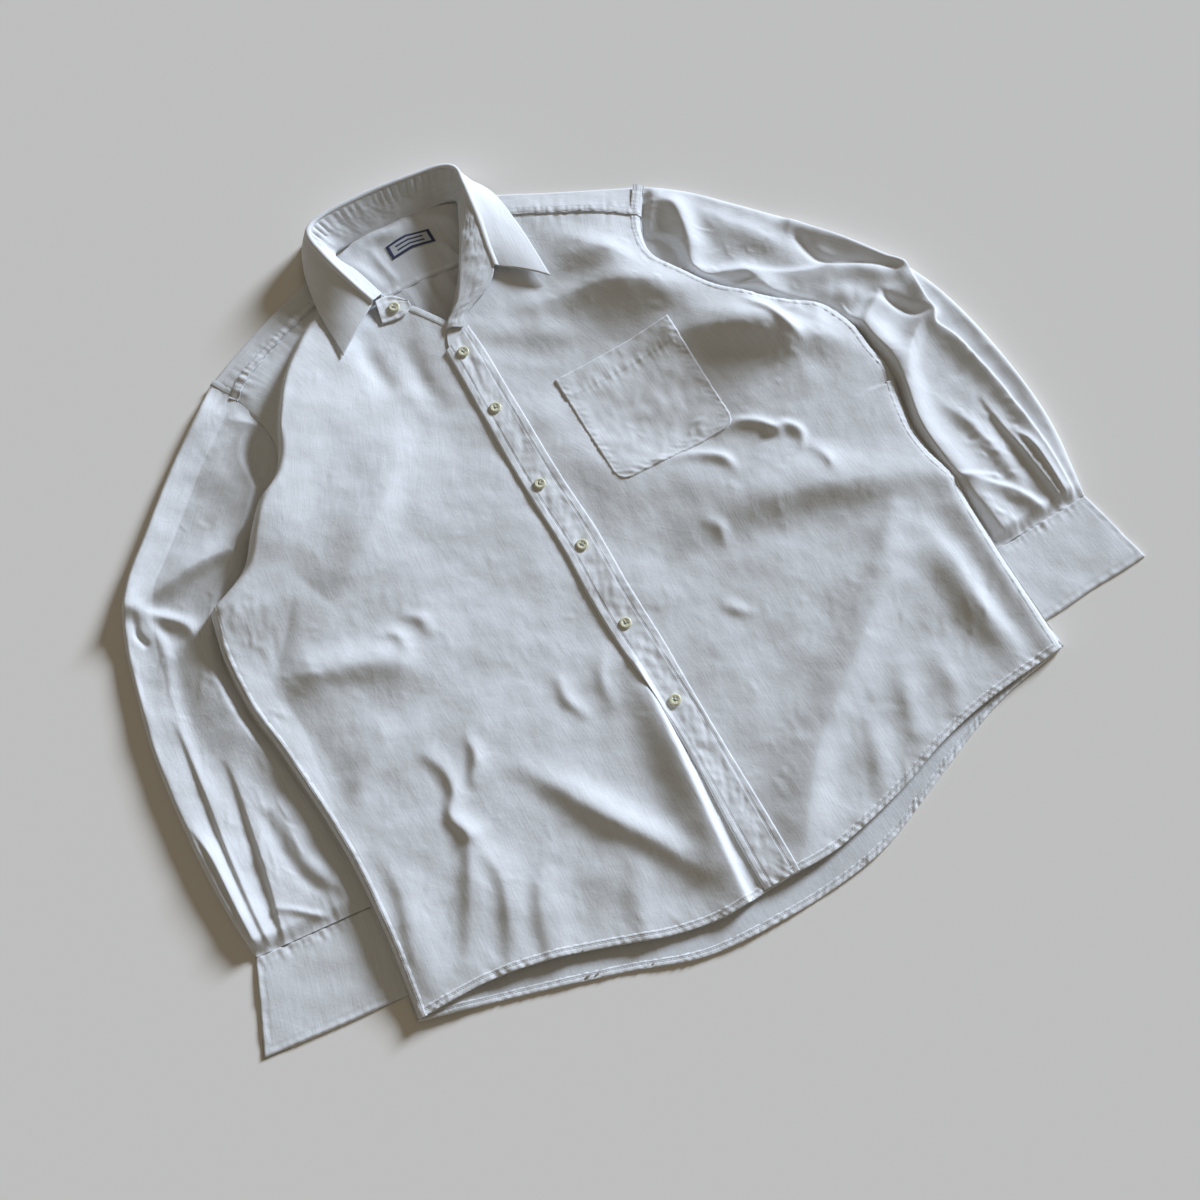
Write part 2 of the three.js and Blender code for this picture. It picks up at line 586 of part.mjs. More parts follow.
/** Several closed geometries made one. */
function joined(...geometries) {
  return geometryOf(geometries.map(solidOf).reduce((sum, solid) => sum.add(solid)));
}

/** A geometry cut back to both armholes. */
function trimmed(geometry) {
  return geometryOf(trims.map(solidOf).reduce((left, trim) => left.subtract(trim), solidOf(geometry)));
}

/** Front seam, fold and floor edge of the yoke over one shoulder, as a grid of points. */
function shoulderFold(shoulder, seam, seamTop) {
  const [fold, edge] = [planCurve(shoulder), planCurve(seam)];
  const round = [
    { across: 0.03, z: WALL * 0.4 },
    { across: 0, z: SLEEVE_DEPTH * 0.55 },
    { across: 0.04, z: SLEEVE_DEPTH + 0.6 },
  ];
  const onTop = [0.16, 0.36, 0.58, 0.8, 1];
  const along = 8;
  return Array.from({ length: along + 1 }, (_, i) => {
    const a = fold(i / along);
    const b = edge(i / along);
    const place = (share) => ({
      x: THREE.MathUtils.lerp(a.x, b.x, share),
      y: THREE.MathUtils.lerp(a.y, b.y - SEAM_LAP, share),
    });
    const lapped = place(1);
    const seamHeight = Math.max(seamTop(b.x, b.y), seamTop(lapped.x, lapped.y)) + LAYER + SEAM_CLEARANCE;
    const turn = round.map((step) => ({ ...place(step.across), z: step.z }));
    const flat = onTop.map((share) => {
      const height = THREE.MathUtils.lerp(SLEEVE_DEPTH + 1.6, seamHeight, share);
      return { ...place(share), z: height };
    });
    return [...turn, ...flat].map((p) => new THREE.Vector3(p.x, p.y, p.z));
  });
}

/** Yoke: one piece, flat under the neck and folded forward over both shoulders. */
function buildYoke() {
  const floorEdge = [...SHOULDER_RIGHT, ...BACK_NECK.slice(1, -1), ...SHOULDER_LEFT];
  const grid = planGrid({
    left: [BACK_YOKE_SEAM[0], floorEdge[0]],
    right: [BACK_YOKE_SEAM.at(-1), floorEdge.at(-1)],
    bottom: BACK_YOKE_SEAM,
    top: floorEdge,
  }, 20, 3);
  const plate = grid.map((row, i) => row.map((p) => ({ x: p.x, y: p.y + (i === 0 ? SEAM_INSET / 2 : 0) })));
  const flat = sheet(raise(plate, () => WALL), WALL, raise(plate, () => 0));
  const folds = [
    shoulderFold(SHOULDER_RIGHT, YOKE_SEAM_RIGHT, bodyTop),
    shoulderFold(SHOULDER_LEFT, YOKE_SEAM_LEFT, leftFrontTop),
  ];
  return piece("yoke", trimmed(joined(flat, ...folds.map((fold) => sheet(fold)))), CLOTH);
}

/** Upper surface of a sleeve at a plan point, from its crown across and its folds. */
function sleeveTop(sleeve, x, y, across) {
  const crown = SLEEVE_CROWN * Math.sqrt(Math.max(0, 1 - (2 * across - 1) ** 4));
  const clear = smoothstep(distanceTo(sleeve.hiddenEdge, x, y), UNDERLAP + 2, UNDERLAP + 22)
    * smoothstep(distanceTo(sleeve.pressedEdges, x, y), 3, 26)
    * edgeRoll(distanceTo(sleeve.outerEdge, x, y), 9);
  return SLEEVE_DEPTH + (crown + foldLift(sleeve.folds, x, y)) * clear;
}

/** Sleeve: a flattened tube from the armhole to the cuff seam. */
function buildSleeve(name, { outer, inner, armhole, bodyEdge, cuffSeam, folds, turn }) {
  const seam = sleeveMouth(armhole);
  const grid = planGrid({
    left: outer,
    right: inner,
    bottom: (share) => samplePolyline(seam, share),
    top: cuffSeam,
  }, SLEEVE_ACROSS, SLEEVE_ALONG);
  const sleeve = {
    folds: withSteps(folds),
    hiddenEdge: edgeSamples(inner),
    pressedEdges: [...bodyEdge, ...edgeSamples(cuffSeam)],
    outerEdge: edgeSamples(outer),
  };
  const loops = (wall) => grid.map((row) => {
    const inset = wall / Math.hypot(row.at(-1).x - row[0].x, row.at(-1).y - row[0].y);
    const stations = row.map((_, j) => inset + (1 - 2 * inset) * (j / SLEEVE_ACROSS));
    const plan = stations.map((share) => ({ ...samplePolyline(row, share), share }));
    const upper = plan.map((p) => new THREE.Vector3(p.x, p.y, sleeveTop(sleeve, p.x, p.y, p.share) - wall));
    const onFloor = plan.filter((_, j) => j % (SLEEVE_ACROSS / SLEEVE_FLOOR_STEPS) === 0);
    const lower = onFloor.map((p) => new THREE.Vector3(p.x, p.y, wall)).reverse();
    return turn ? [...upper, ...lower].reverse() : [...upper, ...lower];
  });
  return piece(name, tube(loops(0), loops(WALL)), CLOTH);
}

/** Cuff: a flat closed band, its two layers one over the other. */
function buildCuff(cuff) {
  const rows = 2;
  const across = 5;
  const turn = cuff.seamOuterX < cuff.seamInnerX;
  const loops = (wall) => Array.from({ length: rows + 1 }, (_, i) => {
    const v = i / rows;
    const mix = (a, b) => THREE.MathUtils.lerp(a, b, v);
    const corner = (side) => ({
      x: mix(cuff[`seam${side}X`], cuff[`edge${side}X`]),
      y: mix(cuff[`seam${side}Y`], cuff[`edge${side}Y`]) - SEAM_INSET,
    });
    const [outer, inner] = [corner("Outer"), corner("Inner")];
    const inset = wall / Math.abs(inner.x - outer.x);
    const shares = Array.from({ length: across + 1 }, (__, j) => inset + (1 - 2 * inset) * (j / across));
    const at = (share, z) => new THREE.Vector3(
      THREE.MathUtils.lerp(outer.x, inner.x, share), THREE.MathUtils.lerp(outer.y, inner.y, share), z);
    const upper = shares.map((share) => at(share, CUFF_DEPTH - wall));
    const lower = shares.map((share) => at(share, wall)).reverse();
    return turn ? [...upper, ...lower].reverse() : [...upper, ...lower];
  });
  return piece(cuff.name, tube(loops(0), loops(WALL)), CLOTH);
}

/** Rows of the stand's table made smooth, each with its foot, its roll and the way outwards. */
function standRows(count) {
  const line = (prefix) => {
    const points = STAND.map((r) => new THREE.Vector3(r[`${prefix}X`], r[`${prefix}Y`], r[`${prefix}Z`]));
    return new THREE.CatmullRomCurve3(points, false, "centripetal");
  };
  const [foot, roll] = [line("foot"), line("roll")];
  return Array.from({ length: count + 1 }, (_, i) => {
    const row = { foot: foot.getPoint(i / count), roll: roll.getPoint(i / count) };
    const outwards = row.roll.clone().sub(row.foot).setZ(0).normalize();
    return { ...row, outwards };
  });
}

const standEndTop = (x, y) => bodyTop(x, y) + COLLAR_WALL + GAP + TRIM_CLEARANCE;

/** Collar stand, from the buttoned right end round the neck to the left end. */
function buildStand() {
  const shares = [1, 0.66, 0.33, 0];
  const rows = standRows(STAND_STEPS);
  const grid = rows.map((row) => shares.map((share) => row.foot.clone().lerp(row.roll, share)));
  const end = STAND_END.map((row) => [0, 0.5, 1].map((share) => {
    const x = THREE.MathUtils.lerp(row.lowerX, row.upperX, share);
    const y = THREE.MathUtils.lerp(row.lowerY, row.upperY, share);
    return new THREE.Vector3(x, y, standEndTop(x, y) + row.lift * share);
  }));
  const turned = end[0].map((_, j) => end.map((row) => row[j]));
  return piece("collar_stand", joined(sheet(grid, COLLAR_WALL), sheet(turned, COLLAR_WALL)), CLOTH);
}

/** Collar fall: turned over the stand's roll line and down to its free edge. */
function buildFall() {
  const knots = FALL_EDGE.map((p) => new THREE.Vector3(p.x, p.y, p.z));
  const edge = new THREE.CatmullRomCurve3(knots, false, "centripetal");
  const rows = standRows(STAND_STEPS).map((row, i) => {
    const end = edge.getPoint(i / STAND_STEPS);
    const from = (out, up) => row.roll.clone().addScaledVector(row.outwards, out).setZ(row.roll.z + up);
    const start = from(4.3, -2.0);
    const down = [0.34, 0.67, 1].map((share) => start.clone().lerp(end, share));
    return [from(0.2, 1.1), from(2.8, 0.8), start, ...down];
  });
  return piece("collar_fall", sheet(rows, COLLAR_WALL), CLOTH);
}

/** A button, dished in the middle, lying flat at its place. */
function buildButton(name, x, y, z) {
  const r = BUTTON_RADIUS;
  const profile = [
    [0, 0], [r - 0.4, 0], [r, 0.8], [r, 1.8], [r - 0.9, BUTTON_THICKNESS], [r - 2.1, 1.8], [0, 1.7],
  ];
  const outline = profile.map(([radius, height]) => new THREE.Vector2(radius, height));
  const turned = new THREE.LatheGeometry(outline, 14);
  turned.rotateX(Math.PI / 2);
  const button = piece(name, geometryOf(solidOf(turned)), BUTTON);
  button.position.set(x, y, z);
  return button;
}

/** Highest value of a height over a button's foot. */
function seatFor(height, x, y) {
  const angles = Array.from({ length: 8 }, (_, k) => (k * Math.PI) / 4);
  const around = angles.map((a) => height(x + BUTTON_RADIUS * Math.cos(a), y + BUTTON_RADIUS * Math.sin(a)));
  return Math.max(height(x, y), ...around) + GAP;
}

const collarSeat = seatFor(standEndTop, COLLAR_BUTTON.x, COLLAR_BUTTON.y) + STAND_END[1].lift / 2;
const buttons = [
  ...BUTTON_PLACES.map(({ name, x, y }) => buildButton(name, x, y, seatFor(onLeftFront, x, y))),
  buildButton("button_collar", COLLAR_BUTTON.x, COLLAR_BUTTON.y, collarSeat),
];

/** Woven label on the inside of the yoke, below the neck. */
function buildLabel() {
  const { left, right, bottom, top } = LABEL_PLACE;
  const plate = new THREE.BoxGeometry(right - left, top - bottom, LABEL_THICKNESS);
  const label = piece("label", plate, LABEL);
  label.position.set((left + right) / 2, (bottom + top) / 2, WALL + GAP + LABEL_THICKNESS / 2);
  return label;
}

const sleeves = [
  buildSleeve("sleeve_right", {
    outer: SLEEVE_OUTER_RIGHT, inner: SLEEVE_INNER_RIGHT, armhole: ARMHOLE_RIGHT, bodyEdge: rightEdge,
    cuffSeam: [SLEEVE_OUTER_RIGHT.at(-1), SLEEVE_INNER_RIGHT.at(-1)], folds: SLEEVE_RIGHT_FOLDS, turn: true,
  }),
  buildSleeve("sleeve_left", {
    outer: SLEEVE_OUTER_LEFT, inner: SLEEVE_INNER_LEFT, armhole: ARMHOLE_LEFT, bodyEdge: leftEdge,
    cuffSeam: [SLEEVE_OUTER_LEFT.at(-1), SLEEVE_INNER_LEFT.at(-1)], folds: SLEEVE_LEFT_FOLDS, turn: false,
  }),
];

const root = new THREE.Group();
root.name = "shirt";
root.add(
  buildBack(), buildYoke(), buildFrontRight(), buildFrontLeft(), buildPlacket(), buildPocket(),
  ...sleeves, ...CUFFS.map(buildCuff), buildStand(), buildFall(), buildLabel(), ...buttons,
);

const box = new THREE.Box3().setFromObject(root);
root.position.set(-(box.min.x + box.max.x) / 2, -(box.min.y + box.max.y) / 2, 0);

export default root;
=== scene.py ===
"""Looks of a crumpled long-sleeved button-up shirt in pale poplin, laid out on its back.

The cloth lies in layers. Every panel is a grid of cloth whose plan comes from its four seams and
whose height comes from one form of the body, with main creases listed one by one and a fine crumple
over them. Layout sizes are in millimetres, +X towards the wearer's left, +Y towards the collar.
"""

from __future__ import annotations

import logging
import math
from dataclasses import dataclass
from enum import Enum
from typing import Callable, Sequence

import bmesh
import bpy
import numpy as np
from mathutils import Matrix, Vector

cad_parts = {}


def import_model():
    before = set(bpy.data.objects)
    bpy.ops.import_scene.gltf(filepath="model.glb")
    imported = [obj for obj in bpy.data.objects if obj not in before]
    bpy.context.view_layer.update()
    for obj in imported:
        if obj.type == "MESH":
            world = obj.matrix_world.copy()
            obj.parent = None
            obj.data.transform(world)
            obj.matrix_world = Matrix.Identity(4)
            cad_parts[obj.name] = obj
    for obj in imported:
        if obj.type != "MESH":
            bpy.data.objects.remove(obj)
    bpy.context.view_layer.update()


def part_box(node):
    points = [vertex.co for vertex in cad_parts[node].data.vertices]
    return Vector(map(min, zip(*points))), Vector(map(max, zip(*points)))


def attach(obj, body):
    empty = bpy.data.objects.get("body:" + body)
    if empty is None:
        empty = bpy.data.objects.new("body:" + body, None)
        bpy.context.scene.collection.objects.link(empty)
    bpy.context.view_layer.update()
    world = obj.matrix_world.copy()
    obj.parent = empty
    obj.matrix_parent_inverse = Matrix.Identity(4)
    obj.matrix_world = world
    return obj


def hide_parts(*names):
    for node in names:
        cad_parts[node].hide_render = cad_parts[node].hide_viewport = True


log = logging.getLogger("shirt")

Rows = Sequence[Sequence[float]]
Height = Callable[[np.ndarray, np.ndarray], np.ndarray]
Colour = tuple[float, ...]
Value = object

# Millimetres to the metre, and the label's place in the layout, which ties it to the row frame.
MM = 1000.0
LABEL_MIDDLE = (19.5, 435.5)

# Heights of the layers: one panel, the left front's step over the right one, a sleeve's top where
# the body lies on it, the back above that, the edges at the sides, armholes, hems and shoulders, and
# the lowest that a rolled side goes.
WALL = 1.0
LAP_STEP = 1.8
SLEEVE_DEPTH = 3.2
BACK_LIFT = 4.1
SIDE_EDGE = 6.7
ARMHOLE_EDGE = 4.8
HEM_EDGE = 2.8
SHOULDER_EDGE = 4.8
EDGE_FLOOR = 1.6

# How far a sleeve reaches under the body, and the sizes of the sewn-on pieces.
UNDERLAP = 26.0
PLACKET_WIDTH = 35.0
PLACKET_LENGTH = 620
POCKET_SIDES = (73.0, 202.0)
POCKET_LEVELS = (92.0, 222.0)
CUFF_WIDTH = 130.0
CUFF_HEIGHT = 82.0
TAB_HEIGHT = 24.0
BUTTON_COUNT = 6

# Seeds of the soft unevenness and of the fine creases.
SOFT_SEED = 29
CREASE_SEED = 7


class Tone(Enum):
    """Which of the cloth's shades a piece shows."""

    OUTSIDE = 1.0
    INSIDE = 0.93
    DOUBLED = 1.03


class Side(Enum):
    """The wearer's two sides."""

    RIGHT = "right"
    LEFT = "left"


# Plan outlines, each listed from hem to collar or from the wearer's right to left.
SIDE_RIGHT = [
    (-322, -263), (-315, -190), (-314, -110), (-319, -50), (-325, 0), (-334, 60), (-334, 110), (-326, 162),
]
ARMHOLE_RIGHT = [
    (-326, 162), (-300, 171), (-280, 184), (-262, 210), (-240, 238), (-216, 256), (-199, 290),
    (-200, 322), (-212, 357), (-228, 386),
]
SIDE_LEFT = [(352, -250), (351, -200), (353, -130), (357, -82), (363, -60)]
ARMHOLE_LEFT = [
    (363, -60), (354, -25), (353, 5), (360, 40), (370, 75), (366, 104), (364, 132), (350, 168),
    (325, 187), (296, 211), (264, 242), (246, 270), (229, 302), (233, 330), (243, 352), (265, 385),
]
HEM_RIGHT = [
    (-322, -263), (-250, -264), (-200, -273), (-150, -288), (-100, -305), (-50, -314), (0, -312), (25, -311),
]
HEM_LEFT = [(-4, -311), (60, -311), (100, -304), (150, -291), (200, -274), (250, -262), (352, -250)]
HEM_BACK = [
    (-322, -264), (-250, -283), (-150, -312), (-80, -335), (0, -340), (60, -337), (110, -328),
    (200, -292), (270, -266), (352, -250),
]
YOKE_SEAM_RIGHT = [(-212, 357), (-190, 376), (-160, 391), (-130, 405), (-100, 416), (-50, 430)]
YOKE_SEAM_LEFT = [(80, 433), (125, 418), (150, 405), (200, 378), (243, 352)]
NECK_RIGHT = [(-50, 430), (-38, 403), (-14, 368)]
NECK_LEFT = [(10, 330), (34, 362), (62, 402), (80, 433)]
OPENING_RIGHT = [(25, -311), (27, 0), (25, 300), (8, 335), (-14, 368)]
OPENING_LEFT = [(-4, -311), (-4, 0), (-3, 306), (10, 330)]
SHOULDER_RIGHT = [(-228, 386), (-200, 402), (-160, 422), (-100, 447), (-58, 460)]
SHOULDER_LEFT = [(90, 462), (122, 452), (170, 429), (215, 408), (265, 385)]
BACK_YOKE_SEAM = [(-204, 335), (-100, 384), (15, 399), (130, 386), (238, 345)]
BACK_NECK = [(-58, 460), (-20, 474), (45, 475), (90, 462)]
SLEEVE_OUTER_RIGHT = [
    (-228, 386), (-265, 352), (-300, 319), (-350, 265), (-385, 225), (-406, 180), (-418, 120),
    (-427, 60), (-430, -30), (-427, -100), (-421, -148),
]
SLEEVE_INNER_RIGHT = [
    (-199, 290), (-202, 245), (-222, 218), (-244, 192), (-266, 162), (-292, 144), (-307, 110),
    (-308, 60), (-298, 0), (-292, -50), (-290, -110), (-294, -158),
]
SLEEVE_OUTER_LEFT = [
    (265, 385), (300, 359), (350, 307), (400, 251), (430, 207), (457, 162), (473, 104), (481, 20),
    (479, -50), (468, -104), (461, -132),
]
SLEEVE_INNER_LEFT = [
    (229, 302), (226, 262), (246, 226), (280, 192), (312, 166), (334, 140), (340, 100), (340, 60),
    (328, 10), (328, -60), (330, -140),
]
YOKE_SEAM_INSIDE = [(-60, 392.5), (-25, 394.5), (15, 395.5), (55, 393.5), (90, 390)]
FACING_EDGE = [(26, 290), (20, 308), (8, 335), (-2, 351), (-13, 367)]

# Both edges of the placket from hem to collar, and of the collar's buttoned end with its height.
PLACKET_ROWS = [
    (-7, -311, 27, -311), (-6, -250, 28, -250), (-2, -150, 28, -150), (-8, -60, 29, -60),
    (-9, 0, 28, 0), (-7, 60, 30, 60), (-9, 130, 27, 130), (-8, 220, 27, 220),
    (-7, 280, 27, 286), (-7, 302, 25, 318),
]
TAB_ROWS = [
    (-44, 388, -49, 362, 5), (-34, 390, -36, 360, 2.5), (-24, 386, -24, 360, 1),
    (-14, 374, -14, 367, 0.4),
]

# Edge of the right chest's billow, from the neck down to the armpit, and the rolled right side.
BILLOW = [
    (-66, 452), (-92, 414), (-112, 401), (-140, 376), (-165, 348), (-190, 305), (-207, 273), (-226, 248),
    (-254, 236), (-272, 208), (-290, 182), (-332, 156),
]
ROLL_RIGHT = [
    (-322, -263), (-316, -200), (-313, -150), (-308, -95), (-301, -40), (-299, 20), (-298, 58), (-286, 100),
    (-278, 130),
]

# Height of the upper cloth at each station across the shirt, one row for each y.
STATIONS = (-300, -240, -180, -110, -50, 12, 70, 130, 190, 250, 310)
SECTIONS = {
    -335: (9, 9, 9, 9, 8, 7, 7, 7, 7, 7, 7),
    -265: (13, 12, 11, 11, 10, 8, 9, 10, 11, 11, 10),
    -200: (15, 14, 13, 12, 11, 9, 10, 11, 12, 13, 13),
    -130: (15, 15, 14, 13, 11, 9, 10, 12, 13, 14, 14),
    -60: (14, 15, 15, 13, 11, 10, 11, 12, 13, 14, 14),
    10: (14, 16, 17, 14, 11, 10, 10, 12, 14, 15, 16),
    80: (19, 17, 16, 14, 12, 10, 10, 12, 15, 18, 19),
    150: (30, 26, 20, 16, 12, 10, 9, 11, 16, 23, 22),
    220: (37, 38, 28, 19, 13, 11, 9, 12, 17, 22, 24),
    290: (34, 38, 34, 21, 12, 13, 10, 12, 22, 26, 10),
    360: (22, 30, 33, 20, 11, 13, 14, 12, 16, 12, 7),
    430: (14, 16, 18, 12, 9, 9, 9, 9, 8, 6, 6),
}


@dataclass(frozen=True)
class Fold:
    """A crease of the cloth: a line with its height, and how far it reaches to either side.

    The path holds x, y and height. Left and right are seen from its start. A sharp of 0 is a soft
    round fold, and 1 a pressed one. A negative height is a trough.
    """

    path: Rows
    left: float
    right: float
    sharp: float = 0.0


@dataclass(frozen=True)
class Cluster:
    """A patch of fine creases: where, how far it reaches, how many, and which way they run."""

    x: float
    y: float
    reach: float
    count: int
    turn: float
    spread: float
    length: float
    height: float


BODY_FOLDS = (
    # Right chest: soft troughs below the collar and the long diagonal under the billow.
    Fold(((-76, 352, -1.8), (-78, 322, -3.6), (-76, 292, -1.8)), 11, 11),
    Fold(((-40, 320, -1.2), (-43, 284, -3), (-40, 248, -1.2)), 11, 11),
    Fold(((-228, 122, 0), (-200, 134, 6), (-152, 166, 8), (-104, 220, 3)), 34, 17),
    Fold(((-292, 64, 1), (-262, 54, 6), (-226, 44, 7), (-196, 30, 4)), 22, 17, 0.1),
    Fold(((-306, -76, 2), (-276, -56, 4), (-246, -38, 4), (-214, -32, 2)), 22, 16),
    Fold(((-168, 68, 1.2), (-158, 58, 2.4), (-156, 44, 1.2)), 8, 6, 0.2),
    Fold(((-196, 62, 1.2), (-184, 54, 2.4), (-182, 40, 1.2)), 8, 6, 0.2),
    # Right waist and hem.
    Fold(((-212, -62, 1), (-204, -84, 3), (-206, -104, 4), (-218, -122, 4), (-212, -144, 3)), 11, 6, 0.3),
    Fold(((-212, -144, 3), (-224, -172, 4), (-240, -202, 3), (-262, -240, 2)), 20, 9, 0.2),
    Fold(((-172, -64, 1.2), (-174, -84, 3), (-186, -100, 1.8)), 9, 5, 0.2),
    Fold(((-290, -120, 1), (-286, -160, 3), (-298, -205, 4), (-304, -250, 2)), 20, 9, 0.1),
    Fold(((-208, -160, 1), (-204, -190, 3), (-214, -225, 3), (-232, -262, 2)), 18, 8, 0.2),
    Fold(((-140, -116, 2), (-122, -146, 5), (-100, -184, 6), (-74, -222, 6), (-46, -272, 3)), 17, 12, 0.1),
    Fold(((-5, -76, 3), (-9, -130, 10), (-15, -190, 11), (-21, -250, 10), (-27, -314, 7)), 5, 24, 0.2),
    Fold(((-26, -52, 0.6), (-38, -72, 2.4), (-42, -98, 1.2)), 9, 8, 0.2),
    Fold(((-74, -56, 1.2), (-76, -76, 2.4), (-70, -94, 1.2)), 8, 6, 0.3),
    Fold(((-162, -196, 1), (-184, -228, 3), (-196, -272, 3)), 20, 9),
    Fold(((-98, -240, 1.2), (-112, -270, 1.8), (-120, -300, 1.8)), 12, 10),
    # Left shoulder and chest.
    Fold(((160, 364, 2), (172, 342, 6), (190, 316, 8), (210, 286, 4)), 17, 52, 0.2),
    Fold(((100, 304, 3), (140, 297, 6), (175, 286, 6), (212, 262, 5), (246, 244, 2)), 17, 24, 0.2),
    Fold(((36, 300, 1.2), (64, 288, 2.4), (110, 262, 1.8)), 16, 14),
    Fold(((200, 208, 3), (232, 194, 8), (266, 172, 11), (302, 146, 10), (346, 118, 6)), 24, 22, 0.1),
    Fold(((278, 204, 1), (286, 182, 4), (296, 152, 4), (302, 136, 1)), 7, 5, 0.4),
    Fold(((306, 196, 0.6), (318, 176, 3), (326, 160, 1.8)), 9, 8, 0.2),
    Fold(((330, 182, 1.2), (338, 168, 3), (332, 150, 1.8)), 8, 9, 0.2),
    Fold(((250, 300, 1), (270, 252, 5), (284, 212, 8), (289, 165, 7), (287, 112, 2)), 14, 54, 0.2),
    # Foot of the pocket.
    Fold(((118, 92, 1), (150, 83, 2.5), (172, 66, 3.5), (176, 50, 1)), 5, 7, 0.4),
    Fold(((184, 92, 1), (204, 92, 3), (224, 78, 4.5), (232, 66, 3)), 6, 7, 0.4),
    Fold(((226, 70, 2), (244, 66, 4), (252, 52, 3.5), (244, 38, 1)), 5, 7, 0.4),
    Fold(((254, 34, 1.2), (258, 16, 2.4), (256, 0, 0.6)), 8, 6, 0.2),
    # Left waist and hem.
    Fold(((44, 182, 2), (66, 116, 3), (150, 52, 4), (236, 20, 3)), 34, 34),
    Fold(((112, 16, 3), (168, 10, 6), (230, -4, 8), (290, -24, 8), (340, -42, 4)), 30, 22, 0.1),
    Fold(((126, 14, 1.2), (132, 4, 2.4), (130, -8, 1.2)), 7, 7, 0.2),
    Fold(((98, -66, 1.2), (106, -76, 2.4), (114, -82, 1.2)), 8, 6, 0.2),
    Fold(((264, -104, 3), (208, -140, 7), (156, -182, 8), (100, -224, 8), (34, -304, 6)), 20, 26, 0.2),
    Fold(((302, -96, 2), (304, -140, 6), (302, -190, 7), (308, -232, 4)), 12, 18),
    Fold(((206, -196, 1.2), (198, -220, 2.4), (186, -256, 2.4)), 13, 11),
    Fold(((152, -226, 1.2), (146, -250, 2.4), (134, -282, 2.4)), 12, 10),
    Fold(((242, -206, 1.2), (240, -232, 2.4), (232, -256, 1.8)), 12, 10),
    Fold(((286, -60, 1.2), (266, -80, 2.4), (240, -100, 1.8)), 13, 10),
    Fold(((350, -60, 2), (347, -120, 5), (345, -180, 5), (344, -235, 4)), 5, 20),
    # Thin pressed crease down the right side.
    Fold(((-282, 112, -0.5), (-294, 76, -1.6), (-299, 40, -1.2), (-298, 0, -1.6), (-302, -44, -1.2),
          (-311, -92, -0.5)), 2, 4),
)

# Patches of fine creases: down the body from the right armpit, on the sleeves and inside the neck.
CLUSTERS = (
    Cluster(-304, 138, 34, 34, 72, 40, 21, 0.56),
    Cluster(-316, 40, 26, 16, 100, 22, 24, 0.5),
    Cluster(-262, 50, 36, 20, -52, 12, 17, 0.37),
    Cluster(-255, -20, 50, 12, 78, 14, 31, 0.25),
    Cluster(-190, -110, 60, 16, -48, 40, 18, 0.37),
    Cluster(-280, -190, 55, 18, 70, 22, 24, 0.31),
    Cluster(-160, 120, 60, 22, 60, 50, 15, 0.31),
    Cluster(-60, -40, 50, 20, -60, 45, 17, 0.31),
    Cluster(60, -60, 50, 20, 70, 50, 17, 0.31),
    Cluster(70, 120, 50, 16, -70, 50, 18, 0.31),
    Cluster(210, 60, 55, 30, -30, 50, 15, 0.5),
    Cluster(300, 150, 50, 34, -60, 40, 18, 0.56),
    Cluster(220, 290, 36, 16, -60, 24, 15, 0.5),
    Cluster(190, -120, 60, 22, 68, 22, 23, 0.37),
    Cluster(50, -220, 60, 22, -55, 40, 18, 0.37),
    Cluster(300, -180, 45, 22, 80, 20, 28, 0.43),
    Cluster(150, -250, 90, 26, 66, 20, 18, 0.31),
    Cluster(-150, -260, 110, 30, 74, 26, 18, 0.31),
    Cluster(415, -50, 32, 26, -50, 40, 14, 0.5),
    Cluster(400, -100, 34, 16, -45, 14, 21, 0.56),
    Cluster(-375, 100, 40, 14, 80, 20, 28, 0.31),
    Cluster(-370, -60, 40, 16, 84, 14, 31, 0.31),
    Cluster(300, 260, 50, 14, -50, 24, 23, 0.31),
    Cluster(20, 440, 50, 16, 80, 40, 14, 0.37),
)

# Folds of the yoke and of the back, seen inside the neck.
NECK_FOLDS = (
    Fold(((-30, 462, 2), (-10, 466, 4), (8, 462, 5), (24, 466, 3)), 8, 10),
    Fold(((-44, 448, 1), (-36, 430, 3), (-30, 412, 2)), 6, 9),
    Fold(((52, 462, 3), (66, 452, 4), (74, 440, 2)), 8, 8),
    Fold(((-18, 452, 1), (-16, 432, 2), (-12, 410, 1)), 4, 5, 0.3),
    Fold(((50, 426, 1), (54, 414, 2), (57, 402, 1)), 4, 5, 0.3),
)
BACK_FOLDS = (
    Fold(((-8, 396, 1), (-6, 380, 2), (-8, 355, 1)), 3, 6, 0.4),
    Fold(((14, 396, 1), (14, 378, 3), (16, 350, 1)), 3, 7, 0.4),
    Fold(((34, 396, 1), (38, 378, 2), (36, 352, 1)), 3, 6, 0.4),
)


